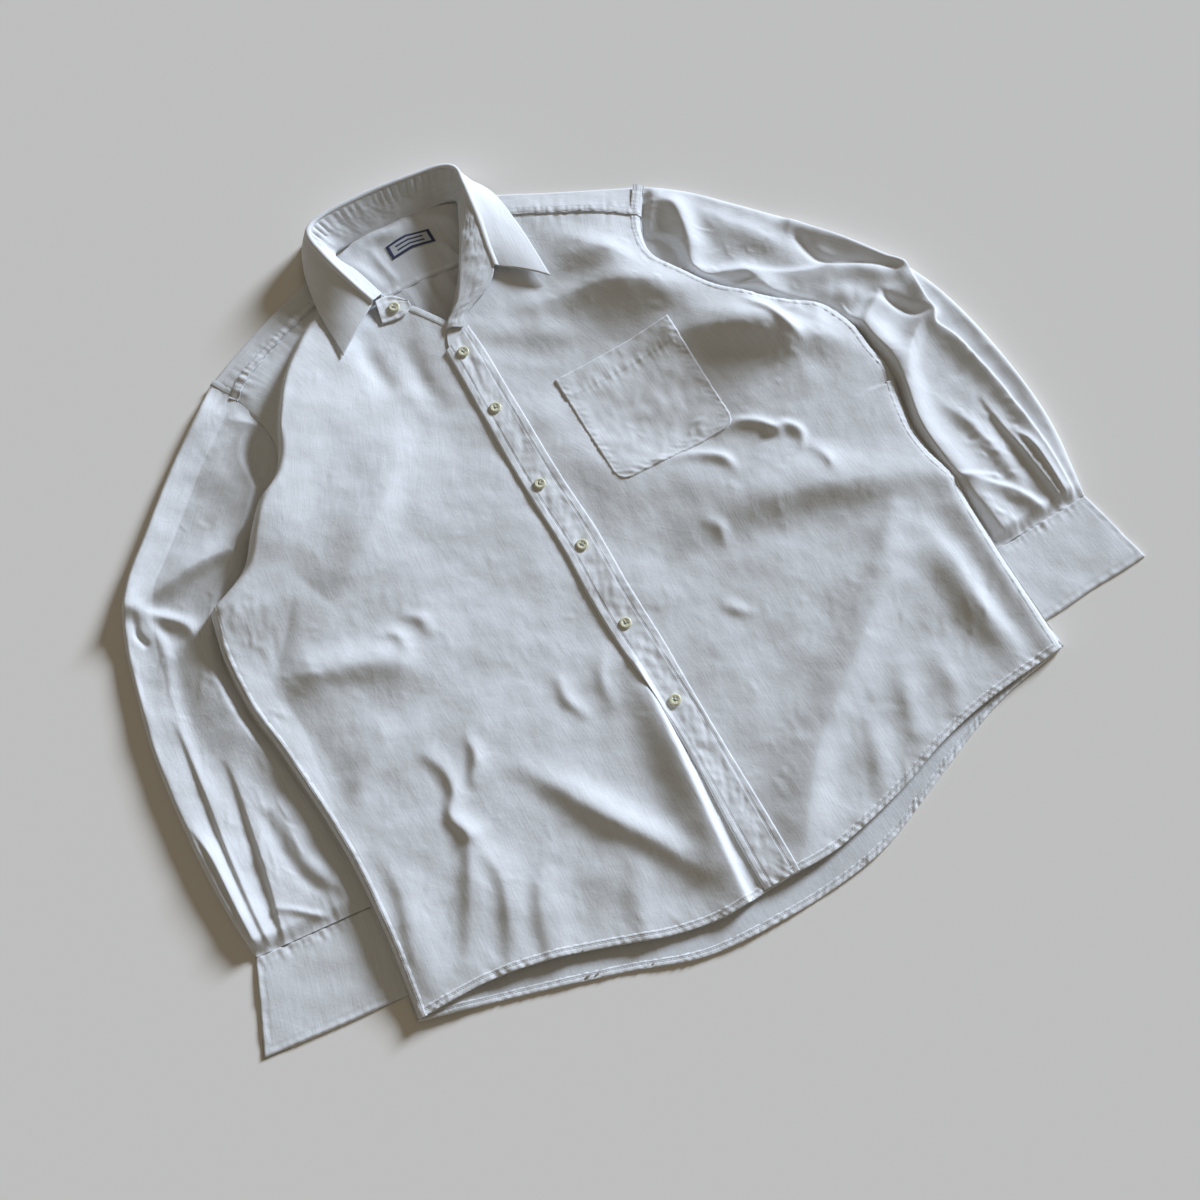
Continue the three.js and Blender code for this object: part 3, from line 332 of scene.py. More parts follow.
def smooth_line(rows: Rows, per_span: int = 14) -> np.ndarray:
    """A smooth line through points, with centripetal tangents.

    Args:
        rows: The points it passes through.
        per_span: Steps between two of them.

    Returns:
        The line's points, one row each.
    """
    knots = np.array(rows, float)
    wide = np.vstack([2 * knots[0] - knots[1], knots, 2 * knots[-1] - knots[-2]])
    t = np.linspace(0, 1, per_span, endpoint=False)[:, None]
    spans = []
    for k in range(len(knots) - 1):
        p0, p1, p2, p3 = wide[k:k + 4]
        pairs = ((p0, p1), (p1, p2), (p2, p3))
        d0, d1, d2 = (max(float(np.linalg.norm(b - a)), 1e-6) ** 0.5 for a, b in pairs)
        m1 = ((p1 - p0) / d0 - (p2 - p0) / (d0 + d1) + (p2 - p1) / d1) * d1
        m2 = ((p2 - p1) / d1 - (p3 - p1) / (d1 + d2) + (p3 - p2) / d2) * d1
        spans.append(p1 + t * m1 + t**2 * (3 * (p2 - p1) - 2 * m1 - m2) + t**3 * (2 * (p1 - p2) + m1 + m2))
    return np.vstack([*spans, knots[-1:]])


def shares(count: int) -> np.ndarray:
    """Even shares from 0 to 1 for a number of steps."""
    return np.linspace(0, 1, count + 1)


def plan_steps(line: np.ndarray) -> np.ndarray:
    """Length in plan of each step of a line."""
    return np.hypot(np.diff(line[:, 0]), np.diff(line[:, 1]))


def plan_run(line: np.ndarray) -> np.ndarray:
    """Length in plan up to each point of a line."""
    return np.concatenate([[0], np.cumsum(plan_steps(line))])


def space_run(line: np.ndarray) -> np.ndarray:
    """Length in space up to each point of a line."""
    return np.concatenate([[0], np.cumsum(np.linalg.norm(np.diff(line, axis=0), axis=1))])


def walk(line: np.ndarray, places: np.ndarray) -> np.ndarray:
    """Points a share of the way along a line, by its length in plan.

    Args:
        line: The line's points.
        places: Shares of its length, from 0 to 1.

    Returns:
        One row of coordinates for each share.
    """
    length = plan_run(line)
    at = np.clip(places, 0, 1) * length[-1]
    return np.stack([np.interp(at, length, line[:, k]) for k in range(line.shape[1])], -1)


def chained(first: Rows, second: Rows, share: float) -> np.ndarray:
    """Two smooth lines end to end, as one line walked evenly within each.

    Args:
        first: Points of the first line.
        second: Points of the second, from where the first ends.
        share: Share of the whole that the first takes.

    Returns:
        201 points at even shares.
    """
    v = shares(200)
    a = walk(smooth_line(first), v / share)
    b = walk(smooth_line(second), (v - share) / (1 - share))
    return np.where((v < share)[:, None], a, b)


def nearest(line: np.ndarray, x: np.ndarray, y: np.ndarray) -> tuple[np.ndarray, np.ndarray, np.ndarray]:
    """Nearest place on a line for many points.

    Args:
        line: The line's points; a third column is carried along.
        x: Plan x of the points.
        y: Plan y of the points.

    Returns:
        The distance, the side from -1 on the right to 1 on the left, and the third column there.
    """
    best = np.full(x.shape, np.inf)
    side = np.zeros(x.shape)
    carried = np.zeros(x.shape)
    third = line[:, 2] if line.shape[1] > 2 else np.linspace(0, 1, len(line))
    for k in range(len(line) - 1):
        ax, ay = line[k, :2]
        dx, dy = line[k + 1, :2] - line[k, :2]
        size = dx * dx + dy * dy
        if size == 0:
            continue
        t = np.clip(((x - ax) * dx + (y - ay) * dy) / size, 0, 1)
        off_x = x - ax - t * dx
        off_y = y - ay - t * dy
        distance = np.hypot(off_x, off_y)
        closer = distance < best
        turn = (dx * off_y - dy * off_x) / (np.maximum(distance, 1e-6) * math.sqrt(size))
        best = np.where(closer, distance, best)
        side = np.where(closer, turn, side)
        carried = np.where(closer, third[k] + t * (third[k + 1] - third[k]), carried)
    return best, side, carried


def smoothstep(x: np.ndarray, low: float, high: float) -> np.ndarray:
    """Smooth rise from 0 at low to 1 at high."""
    t = np.clip((x - low) / (high - low), 0, 1)
    return t * t * (3 - 2 * t)


def edge_roll(distance: np.ndarray, roll: float) -> np.ndarray:
    """Rise of cloth from a rolled edge: 0 at the edge and 1 past the roll."""
    inset = np.clip(1 - distance / roll, 0, 1)
    return np.sqrt(1 - inset * inset)


def fold_lift(folds: Sequence[Fold], x: np.ndarray, y: np.ndarray) -> np.ndarray:
    """Height that a list of folds adds.

    Args:
        folds: The folds.
        x: Plan x of the points.
        y: Plan y of the points.

    Returns:
        The height at each point.
    """
    lift = np.zeros(x.shape)
    for fold in folds:
        line = smooth_line(fold.path, 5)
        reach = 2.6 * max(fold.left, fold.right)
        low = line[:, :2].min(0) - reach
        high = line[:, :2].max(0) + reach
        near = (x > low[0]) & (x < high[0]) & (y > low[1]) & (y < high[1])
        if not near.any():
            continue
        distance, side, high_here = nearest(line, x[near], y[near])
        wide = fold.right + (fold.left - fold.right) * (side + 1) / 2
        s = distance / wide
        lift[near] += high_here * np.exp(-(s * s + fold.sharp * s))
    return lift


def signed(line: np.ndarray, x: np.ndarray, y: np.ndarray) -> np.ndarray:
    """Distance from a line for many points, positive to its left.

    Args:
        line: The line's points.
        x: Plan x of the points.
        y: Plan y of the points.

    Returns:
        The signed distance of each.
    """
    distance, side, _ = nearest(line, x, y)
    return distance * np.sign(side)


class Crumple:
    """Seeded gradient noise for the soft unevenness of laid cloth."""

    cells = 64

    def __init__(self, seed: int) -> None:
        """Draws the table of directions for one seed."""
        turns = np.random.default_rng(seed).uniform(0, 2 * math.pi, (self.cells, self.cells))
        self.slope_x = np.cos(turns)
        self.slope_y = np.sin(turns)

    def _corner(self, column: np.ndarray, row: np.ndarray, fx: np.ndarray, fy: np.ndarray) -> np.ndarray:
        """Height that one corner's slope gives at a place in its cell."""
        a = column % self.cells
        b = row % self.cells
        return self.slope_x[b, a] * fx + self.slope_y[b, a] * fy

    def soft(self, x: np.ndarray, y: np.ndarray) -> np.ndarray:
        """Smooth noise of about -1 to 1 with a grain of one unit."""
        column = np.floor(x).astype(int)
        row = np.floor(y).astype(int)
        fx = x - column
        fy = y - row
        u = fx * fx * fx * (fx * (fx * 6 - 15) + 10)
        v = fy * fy * fy * (fy * (fy * 6 - 15) + 10)
        low = self._corner(column, row, fx, fy) * (1 - u) + self._corner(column + 1, row, fx - 1, fy) * u
        high = self._corner(column, row + 1, fx, fy - 1) * (1 - u)
        high = high + self._corner(column + 1, row + 1, fx - 1, fy - 1) * u
        return (low * (1 - v) + high * v) * 1.5


crumple = Crumple(SOFT_SEED)


class CreaseMap:
    """Fine creases drawn once over the whole layout, a millimetre to the step."""

    low_x = -520
    low_y = -420
    columns = 1040
    rows = 960
    scatter = 800

    def __init__(self, clusters: Sequence[Cluster], seed: int) -> None:
        """Draws the clusters and a thin scatter everywhere between them."""
        self.height = np.zeros((self.rows, self.columns))
        self.dice = np.random.default_rng(seed)
        for cluster in clusters:
            for _ in range(cluster.count):
                spot = self.dice.normal(0, cluster.reach / 1.7, 2) + (cluster.x, cluster.y)
                turn = cluster.turn + self.dice.normal(0, cluster.spread)
                length = cluster.length * self.dice.uniform(0.4, 1.3)
                width = self.dice.uniform(1.5, 3.8)
                self._draw(spot, turn, length, width, cluster.height * self.dice.uniform(0.2, 1.15))
        for _ in range(self.scatter):
            spot = self.dice.uniform((-470, -345), (480, 515))
            turn = self.dice.choice((-52.0, 58.0, 84.0)) + self.dice.normal(0, 17)
            length = self.dice.uniform(6, 24)
            self._draw(spot, turn, length, self.dice.uniform(1.4, 3.4), self.dice.uniform(0.05, 0.28))

    def _draw(self, spot: np.ndarray, turn: float, length: float, width: float, height: float) -> None:
        """Adds one crease: a thin bent ridge with a faint valley beside it.

        Args:
            spot: Its middle.
            turn: Its direction in degrees.
            length: Its length.
            width: Half its width.
            height: Its height.
        """
        reach = int(length / 2 + 5 * width) + 2
        column = int(round(spot[0] - self.low_x))
        row = int(round(spot[1] - self.low_y))
        if not (reach < column < self.columns - reach and reach < row < self.rows - reach):
            return
        y, x = np.mgrid[-reach:reach + 1, -reach:reach + 1].astype(float)
        c = math.cos(math.radians(turn))
        s = math.sin(math.radians(turn))
        along = (x * c + y * s) / (length / 2)
        across = (y * c - x * s - self.dice.uniform(-0.06, 0.06) * length * along * along) / width
        taper = np.clip(1 - along * along, 0, 1)
        ridge = np.exp(-across * across) - 0.45 * np.exp(-((across - 1.7) ** 2))
        window = (slice(row - reach, row + reach + 1), slice(column - reach, column + reach + 1))
        self.height[window] += height * taper * ridge

    def read(self, x: np.ndarray, y: np.ndarray) -> np.ndarray:
        """Height of the creases at many places."""
        column = np.clip(x - self.low_x, 0, self.columns - 2)
        row = np.clip(y - self.low_y, 0, self.rows - 2)
        i = row.astype(int)
        j = column.astype(int)
        v = row - i
        u = column - j
        low = self.height[i, j] * (1 - u) + self.height[i, j + 1] * u
        high = self.height[i + 1, j] * (1 - u) + self.height[i + 1, j + 1] * u
        return low * (1 - v) + high * v


creases = CreaseMap(CLUSTERS, CREASE_SEED)


def fine_crumple(x: np.ndarray, y: np.ndarray) -> np.ndarray:
    """Soft unevenness and fine creases that lie all over laid cotton.

    Args:
        x: Plan x of the points.
        y: Plan y of the points.

    Returns:
        The height at each point.
    """
    swell = 1.7 * crumple.soft(x / 62, y / 50) + 0.62 * crumple.soft(x / 27 + 5, y / 22)
    dent = 0.13 * crumple.soft(x / 11 + 2, y / 12 + 8)
    return swell + dent + creases.read(x, y)


def pucker(line: np.ndarray, x: np.ndarray, y: np.ndarray, pitch: float, reach: float,
           skew: float = 0.0) -> np.ndarray:
    """Small pleats drawn up along a seam.

    Args:
        line: The seam's points in plan.
        x: Plan x of the points.
        y: Plan y of the points.
        pitch: Spacing of the pleats.
        reach: How far they run from the seam.
        skew: How far they lean along it, for each step away.

    Returns:
        A height of about -1 to 1 at each point.
    """
    distance, _, at = nearest(np.column_stack([line[:, :2], plan_run(line)]), x, y)
    drawn = 0.55 + 0.9 * crumple.soft(at / 31 + 6, 0 * at + 0.3)
    pleat = crumple.soft((at + skew * distance) / pitch, distance / (3 * reach) + 2.2)
    return pleat * np.exp(-((distance / reach) ** 2)) * drawn


def rolled_under(points: np.ndarray, last: bool) -> np.ndarray:
    """A grid of cloth whose side edge is rolled down and under.

    Args:
        points: Rows of layout points.
        last: Whether the last column is the edge, and not the first.

    Returns:
        The grid with four more columns.
    """
    edge, inner = (points[:, -1], points[:, -3]) if last else (points[:, 0], points[:, 2])
    out = (edge - inner) * np.array([1.0, 1.0, 0.0])
    out = out / np.maximum(np.linalg.norm(out, axis=1), 1e-6)[:, None]
    columns = []
    for step, drop in ((0.8, 0.5), (1.2, 1.3), (1.1, 2.3), (0.2, 3.2)):
        column = edge + out * step
        column[:, 2] = np.maximum(edge[:, 2] - drop, EDGE_FLOOR)
        columns.append(column[:, None])
    if last:
        return np.concatenate([points, *columns], 1)
    return np.concatenate([*columns[::-1], points], 1)


@dataclass(frozen=True)
class Layout:
    """Where the layout's millimetres lie in the row frame."""

    centre_x: float
    centre_y: float

    def to_row(self, points: np.ndarray) -> np.ndarray:
        """Layout points in millimetres as row frame points in metres."""
        return (points - np.array([self.centre_x, self.centre_y, 0.0])) / MM


@dataclass(frozen=True)
class Lifted:
    """A height function raised by a fixed amount."""

    base: Height
    by: float

    def __call__(self, x: np.ndarray, y: np.ndarray) -> np.ndarray:
        """Height at each point."""
        return self.base(x, y) + self.by


def _smooth_table(knots: np.ndarray, values: np.ndarray, at: np.ndarray) -> np.ndarray:
    """Cubic through a table's values at many places.

    Args:
        knots: Places of the values, rising.
        values: The values.
        at: Places to read.

    Returns:
        The values there.
    """
    return _smooth_rows(knots, np.repeat(values[:, None], len(at), 1), at)


def _smooth_rows(knots: np.ndarray, rows: np.ndarray, at: np.ndarray) -> np.ndarray:
    """Cubic through one column of values for each place.

    Args:
        knots: Places of the rows, rising.
        rows: One row of values for each knot, one column for each place.
        at: Places to read.

    Returns:
        The value at each place, from its own column.
    """
    last = len(knots) - 1
    k = np.clip(np.searchsorted(knots, at, side="right") - 1, 0, last - 1)
    place = np.arange(len(at))

    def slope(i: np.ndarray) -> np.ndarray:
        """Slope of each place's own column at a knot."""
        a = np.maximum(i - 1, 0)
        b = np.minimum(i + 1, last)
        return (rows[b, place] - rows[a, place]) / (knots[b] - knots[a])

    span = knots[k + 1] - knots[k]
    t = np.clip((at - knots[k]) / span, 0, 1)
    h = t * t * (3 - 2 * t)
    rise = slope(k) * span * t * (1 - t) ** 2 - slope(k + 1) * span * t * t * (1 - t)
    return rows[k, place] * (1 - h) + rows[k + 1, place] * h + rise


class BodyForm:
    """Heights of the laid body: the right front, the left front over it, and the back."""

    middle_x = 12.0
    fold_gain = 1.2
    shoulder_top = 6.4
    side_roll = 5.0
    side_roll_height = 11.0
    side_roll_slope = 0.16

    def __init__(self) -> None:
        """Prepares the side lines and the table of sections."""
        self.edge_right = np.vstack([smooth_line(SIDE_RIGHT, 5), smooth_line(ARMHOLE_RIGHT, 5)])
        self.edge_left = np.vstack([smooth_line(SIDE_LEFT, 5), smooth_line(ARMHOLE_LEFT, 5)])
        self.billow = smooth_line(BILLOW, 5)
        self.roll_right = smooth_line(ROLL_RIGHT, 5)
        self.hems = (smooth_line(HEM_RIGHT, 5), smooth_line(HEM_LEFT, 5))
        self.yoke_seams = (smooth_line(YOKE_SEAM_RIGHT, 5), smooth_line(YOKE_SEAM_LEFT, 5))
        self.armhole_left = smooth_line(ARMHOLE_LEFT[2:], 5)
        self.levels = np.array(sorted(SECTIONS), float)
        self.table = np.array([SECTIONS[int(level)] for level in self.levels], float)

    def _section(self, x: np.ndarray, y: np.ndarray) -> np.ndarray:
        """Height from the table, smooth both ways."""
        flat_y = np.clip(y, self.levels[0], self.levels[-1]).ravel()
        flat_x = np.clip(x, STATIONS[0], STATIONS[-1]).ravel()
        columns = np.stack([_smooth_table(self.levels, column, flat_y) for column in self.table.T])
        return _smooth_rows(np.array(STATIONS, float), columns, flat_x).reshape(x.shape)

    def _edge(self, x: np.ndarray, y: np.ndarray) -> tuple[np.ndarray, np.ndarray]:
        """Distance from the body's own side edge, and whether a point is on the right half."""
        on_right = x < self.middle_x
        right = nearest(self.edge_right, x, y)[0]
        left = nearest(self.edge_left, x, y)[0]
        return np.where(on_right, right, left), on_right

    def _puckers(self, x: np.ndarray, y: np.ndarray) -> np.ndarray:
        """Pleats drawn up by the hems, the yoke seams and the left armhole."""
        total = np.zeros(x.shape)
        for line in self.hems:
            total += pucker(line, x, y, 5.2, 14, 0.6) * (y < -190)
        for line in self.yoke_seams:
            total += 1.1 * pucker(line, x, y, 6.4, 17) * (y > 300)
        return total + 0.9 * pucker(self.armhole_left, x, y, 6.0, 15) * (x > 180)

    def top(self, x: np.ndarray, y: np.ndarray) -> np.ndarray:
        """Upper surface of the right front, which the left front follows."""
        distance, on_right = self._edge(x, y)
        mouth = np.where(on_right, SLEEVE_INNER_RIGHT[0][1], SLEEVE_INNER_LEFT[0][1])
        up_armhole = smoothstep(y - mouth, 25, 55)
        at_hem = 1 - smoothstep(y, -250, -205)
        edge = SIDE_EDGE + (ARMHOLE_EDGE - SIDE_EDGE) * up_armhole
        edge = edge + (HEM_EDGE - edge) * at_hem
        full = self._section(x, y) + self.fold_gain * fold_lift(BODY_FOLDS, x, y)
        billow = smoothstep(signed(self.billow, x, y), -4, 8)
        shoulder = self.shoulder_top + 1.6 * smoothstep(distance, 0, 40)
        full = np.where(on_right, shoulder + (full - shoulder) * billow, full)
        strip = edge + self.side_roll_height * edge_roll(distance, self.side_roll)
        strip = strip - self.side_roll_slope * np.clip(distance - self.side_roll, 0, 27)
        inside = np.maximum(smoothstep(-signed(self.roll_right, x, y), -10, 30), smoothstep(y, 60, 140))
        full = np.where(on_right & (y < 141), strip + (full - strip) * inside, full)
        roll = np.where(on_right, 5 + 8 * smoothstep(y, 110, 150), 15 - 8 * smoothstep(y, 60, 120))
        rolled = edge_roll(distance, roll)
        hem = np.minimum(nearest(self.hems[0], x, y)[0], nearest(self.hems[1], x, y)[0])
        low = np.where(y < -140, 0.72 + 0.28 * smoothstep(hem, 2, 70), 1.0)
        low = low * np.where(~on_right & (y > 60), 0.7 + 0.3 * smoothstep(distance, 0, 45), 1.0)
        worn = (fine_crumple(x, y) + self._puckers(x, y)) * smoothstep(distance, 0, 10)
        return edge + (np.maximum(full, edge) - edge) * rolled * low + worn

    def left_top(self, x: np.ndarray, y: np.ndarray) -> np.ndarray:
        """Upper surface of the left front: above the right one where they lap."""
        return self.top(x, y) + LAP_STEP * (1 - smoothstep(x, 40, 120))

    def back_top(self, x: np.ndarray, y: np.ndarray) -> np.ndarray:
        """Upper surface of the back, lifted where a sleeve or cuff passes beneath its side."""
        distance, on_right = self._edge(x, y)
        mouth = np.where(on_right, SLEEVE_INNER_RIGHT[0][1], SLEEVE_INNER_LEFT[0][1])
        foot = np.where(on_right, -241, -221)
        inward = 1 - smoothstep(distance, UNDERLAP + 12, UNDERLAP + 42)
        along = smoothstep(y - foot, -42, -24) * (1 - smoothstep(y - mouth, 16, 46))
        hem = nearest(smooth_line(HEM_BACK, 5), x, y)[0]
        wave = 0.9 * np.exp(-hem / 30) * (1 + crumple.soft(x / 55, y / 55))
        return WALL + BACK_LIFT * inward * along + wave

    def back_worn(self, x: np.ndarray, y: np.ndarray) -> np.ndarray:
        """Upper surface of the back with its creases."""
        drawn = 0.5 * pucker(smooth_line(HEM_BACK, 5), x, y, 5.0, 12, 0.6)
        worn = 0.6 * fine_crumple(x, y) + drawn + fold_lift(BACK_FOLDS, x, y)
        return np.maximum(self.back_top(x, y) + worn + 0.6, 1.0)

    def yoke_top(self, x: np.ndarray, y: np.ndarray) -> np.ndarray:
        """Upper surface of the yoke's back half, seen inside the neck."""
        foot = smooth_line(BACK_NECK, 5)
        seam = smooth_line(BACK_YOKE_SEAM, 5)
        drawn = 0.8 * pucker(foot, x, y, 9.0, 22) + 0.5 * pucker(seam, x, y, 5.5, 10)
        return np.maximum(2.4 + 0.7 * fine_crumple(x, y) + drawn + fold_lift(NECK_FOLDS, x, y), 1.0)


def plan_grid(left: np.ndarray, right: np.ndarray, bottom: np.ndarray, top: np.ndarray,
              across: np.ndarray, along: np.ndarray) -> np.ndarray:
    """Plan points inside four edges whose corners meet.

    Args:
        left: Line up the left side.
        right: Line up the right side.
        bottom: Line along the bottom, left to right.
        top: Line along the top, left to right.
        across: Shares from left to right.
        along: Shares from bottom to top.

    Returns:
        Rows of plan points, from the bottom up.
    """
    lines = [line[:, :2] for line in (left, right, bottom, top)]
    l_side = walk(lines[0], along)[:, None]
    r_side = walk(lines[1], along)[:, None]
    b_side = walk(lines[2], across)[None]
    t_side = walk(lines[3], across)[None]
    u = across[None, :, None]
    v = along[:, None, None]
    corners = (
        (1 - u) * (1 - v) * b_side[:, :1] + u * (1 - v) * b_side[:, -1:]
        + (1 - u) * v * t_side[:, :1] + u * v * t_side[:, -1:]
    )
    return (1 - u) * l_side + u * r_side + (1 - v) * b_side + v * t_side - corners


def at_height(plan: np.ndarray, z: np.ndarray) -> np.ndarray:
    """Plan points with their heights as the third coordinate."""
    return np.concatenate([plan, z[..., None]], -1)


def raised(plan: np.ndarray, height: Height) -> np.ndarray:
    """Plan points with their height from a function."""
    return at_height(plan, height(plan[..., 0], plan[..., 1]))


class Maker:
    """Turns grids of layout points into finished pieces in the row frame."""

    def __init__(self, layout: Layout) -> None:
        """Keeps the layout that every piece is placed by."""
        self.layout = layout

    def mesh_piece(self, name: str, bm: bmesh.types.BMesh, finish: bpy.types.Material) -> bpy.types.Object:
        """A named piece from a finished bmesh.

        Args:
            name: The piece's name.
            bm: Its shape in the row frame; it is freed.
            finish: Its material.

        Returns:
            The piece.
        """
        mesh = bpy.data.meshes.new(name)
        bm.to_mesh(mesh)
        bm.free()
        for face in mesh.polygons:
            face.use_smooth = True
        mesh.materials.append(finish)
        piece = bpy.data.objects.new(name, mesh)
        bpy.context.scene.collection.objects.link(piece)
        return piece

    def cloth(self, name: str, points: np.ndarray, finish: bpy.types.Material, wall: float = 0.7,
              closed: bool = False) -> bpy.types.Object:
        """A sheet of cloth from a grid of its points.

        Args:
            name: The piece's name.
            points: Rows of layout points, in millimetres.
            finish: Its material.
            wall: Thickness in millimetres, or 0 for a closed form.
            closed: Whether the last column meets the first.

        Returns:
            The piece, faces outward, with a UV map in metres along the cloth.
        """
        rows, columns = points.shape[:2]
        bm = bmesh.new()
        bm.loops.layers.uv.new("UVMap")
        bmesh.ops.create_grid(bm, x_segments=columns - 1, y_segments=rows - 1, size=0.5, calc_uvs=True)
        piece = self.mesh_piece(name, bm, finish)
        mesh = piece.data
        flat = np.zeros(len(mesh.vertices) * 3)
        mesh.vertices.foreach_get("co", flat)
        flat = flat.reshape(-1, 3)
        i = np.rint((flat[:, 1] + 0.5) * (rows - 1)).astype(int)
        j = np.rint((flat[:, 0] + 0.5) * (columns - 1)).astype(int)
        placed = self.layout.to_row(points)
        mesh.vertices.foreach_set("co", placed[i, j].ravel())
        run_across = np.linalg.norm(np.diff(points, axis=1), axis=-1)
        run_along = np.linalg.norm(np.diff(points, axis=0), axis=-1)
        u = np.concatenate([np.zeros((rows, 1)), np.cumsum(run_across, 1)], 1) / MM
        v = np.concatenate([np.zeros((1, columns)), np.cumsum(run_along, 0)], 0) / MM
        u = u - u.mean(1, keepdims=True)
        loops = np.zeros(len(mesh.loops), int)
        mesh.loops.foreach_get("vertex_index", loops)
        mesh.uv_layers[0].data.foreach_set("uv", np.stack([u[i, j], v[i, j]], -1)[loops].ravel())
        a, b, c = points[0, 0], points[0, -1], points[-1, 0]
        turned = (b[0] - a[0]) * (c[1] - a[1]) - (b[1] - a[1]) * (c[0] - a[0]) < 0
        if turned or closed:
            bm = bmesh.new()
            bm.from_mesh(mesh)
            if turned:
                bmesh.ops.reverse_faces(bm, faces=bm.faces)
            if closed:
                bmesh.ops.remove_doubles(bm, verts=bm.verts, dist=1e-5)
                bmesh.ops.recalc_face_normals(bm, faces=bm.faces)
            bm.to_mesh(mesh)
            bm.free()
        if wall:
            thick = piece.modifiers.new("wall", "SOLIDIFY")
            thick.thickness = wall / MM
            thick.offset = -1
        return piece

    def keep(self, piece: bpy.types.Object, slot: str, *nodes: str) -> bpy.types.Object:
        """Ties a piece to the body and hides the CAD nodes that it stands for."""
        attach(piece, "root")
        if nodes:
            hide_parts(*nodes)
        log.info("%s: %d faces", piece.name, len(piece.data.polygons))
        return piece


class Graph:
    """A material's node tree, built step by step."""

    def __init__(self, name: str) -> None:
        """Starts an empty material with its surface output."""
        self.material = bpy.data.materials.new(name)
        self.material.use_nodes = True
        self.tree = self.material.node_tree
        self.tree.nodes.clear()
        self.output = self.tree.nodes.new("ShaderNodeOutputMaterial")
        self.surface = self.tree.nodes.new("ShaderNodeBsdfPrincipled")
        self.tree.links.new(self.surface.outputs["BSDF"], self.output.inputs["Surface"])

    def plug(self, socket: bpy.types.NodeSocket, value: Value) -> None:
        """Links a socket, or sets its plain value."""
        if isinstance(value, bpy.types.NodeSocket):
            self.tree.links.new(value, socket)
        else:
            socket.default_value = value

    def add(self, kind: str, settings: dict[str, Value], **inputs: Value) -> bpy.types.Node:
        """Adds a node.

        Args:
            kind: Its type name, after the usual prefix.
            settings: Properties to set on it.
            **inputs: Values or sockets for its inputs, with _ for a space in their names.

        Returns:
            The node.
        """
        node = self.tree.nodes.new(f"ShaderNode{kind}")
        for key, value in settings.items():
            setattr(node, key, value)
        for key, value in inputs.items():
            self.plug(node.inputs[key.replace("_", " ")], value)
        return node

    def math(self, operation: str, a: Value, b: Value = 0.0) -> bpy.types.NodeSocket:
        """Result of a math node."""
        node = self.add("Math", {"operation": operation})
        self.plug(node.inputs[0], a)
        self.plug(node.inputs[1], b)
        return node.outputs[0]

    def between(self, value: Value, low: float, high: float) -> bpy.types.NodeSocket:
        """Smooth rise from 0 at low to 1 at high."""
        node = self.add("MapRange", {"interpolation_type": "SMOOTHSTEP"}, From_Min=low, From_Max=high)
        self.plug(node.inputs["Value"], value)
        return node.outputs["Result"]

    def mix(self, share: Value, first: Value, second: Value) -> bpy.types.NodeSocket:
        """Colour between two others."""
        node = self.add("Mix", {"data_type": "RGBA"})
        self.plug(node.inputs[0], share)
        self.plug(node.inputs[6], first)
        self.plug(node.inputs[7], second)
        return node.outputs[2]

    def bump(self, height: Value, distance: float, strength: float,
             normal: bpy.types.NodeSocket | None = None) -> bpy.types.NodeSocket:
        """Normal of a bumped surface."""
        node = self.add("Bump", {}, Height=height, Distance=distance, Strength=strength)
        if normal is not None:
            self.plug(node.inputs["Normal"], normal)
        return node.outputs["Normal"]


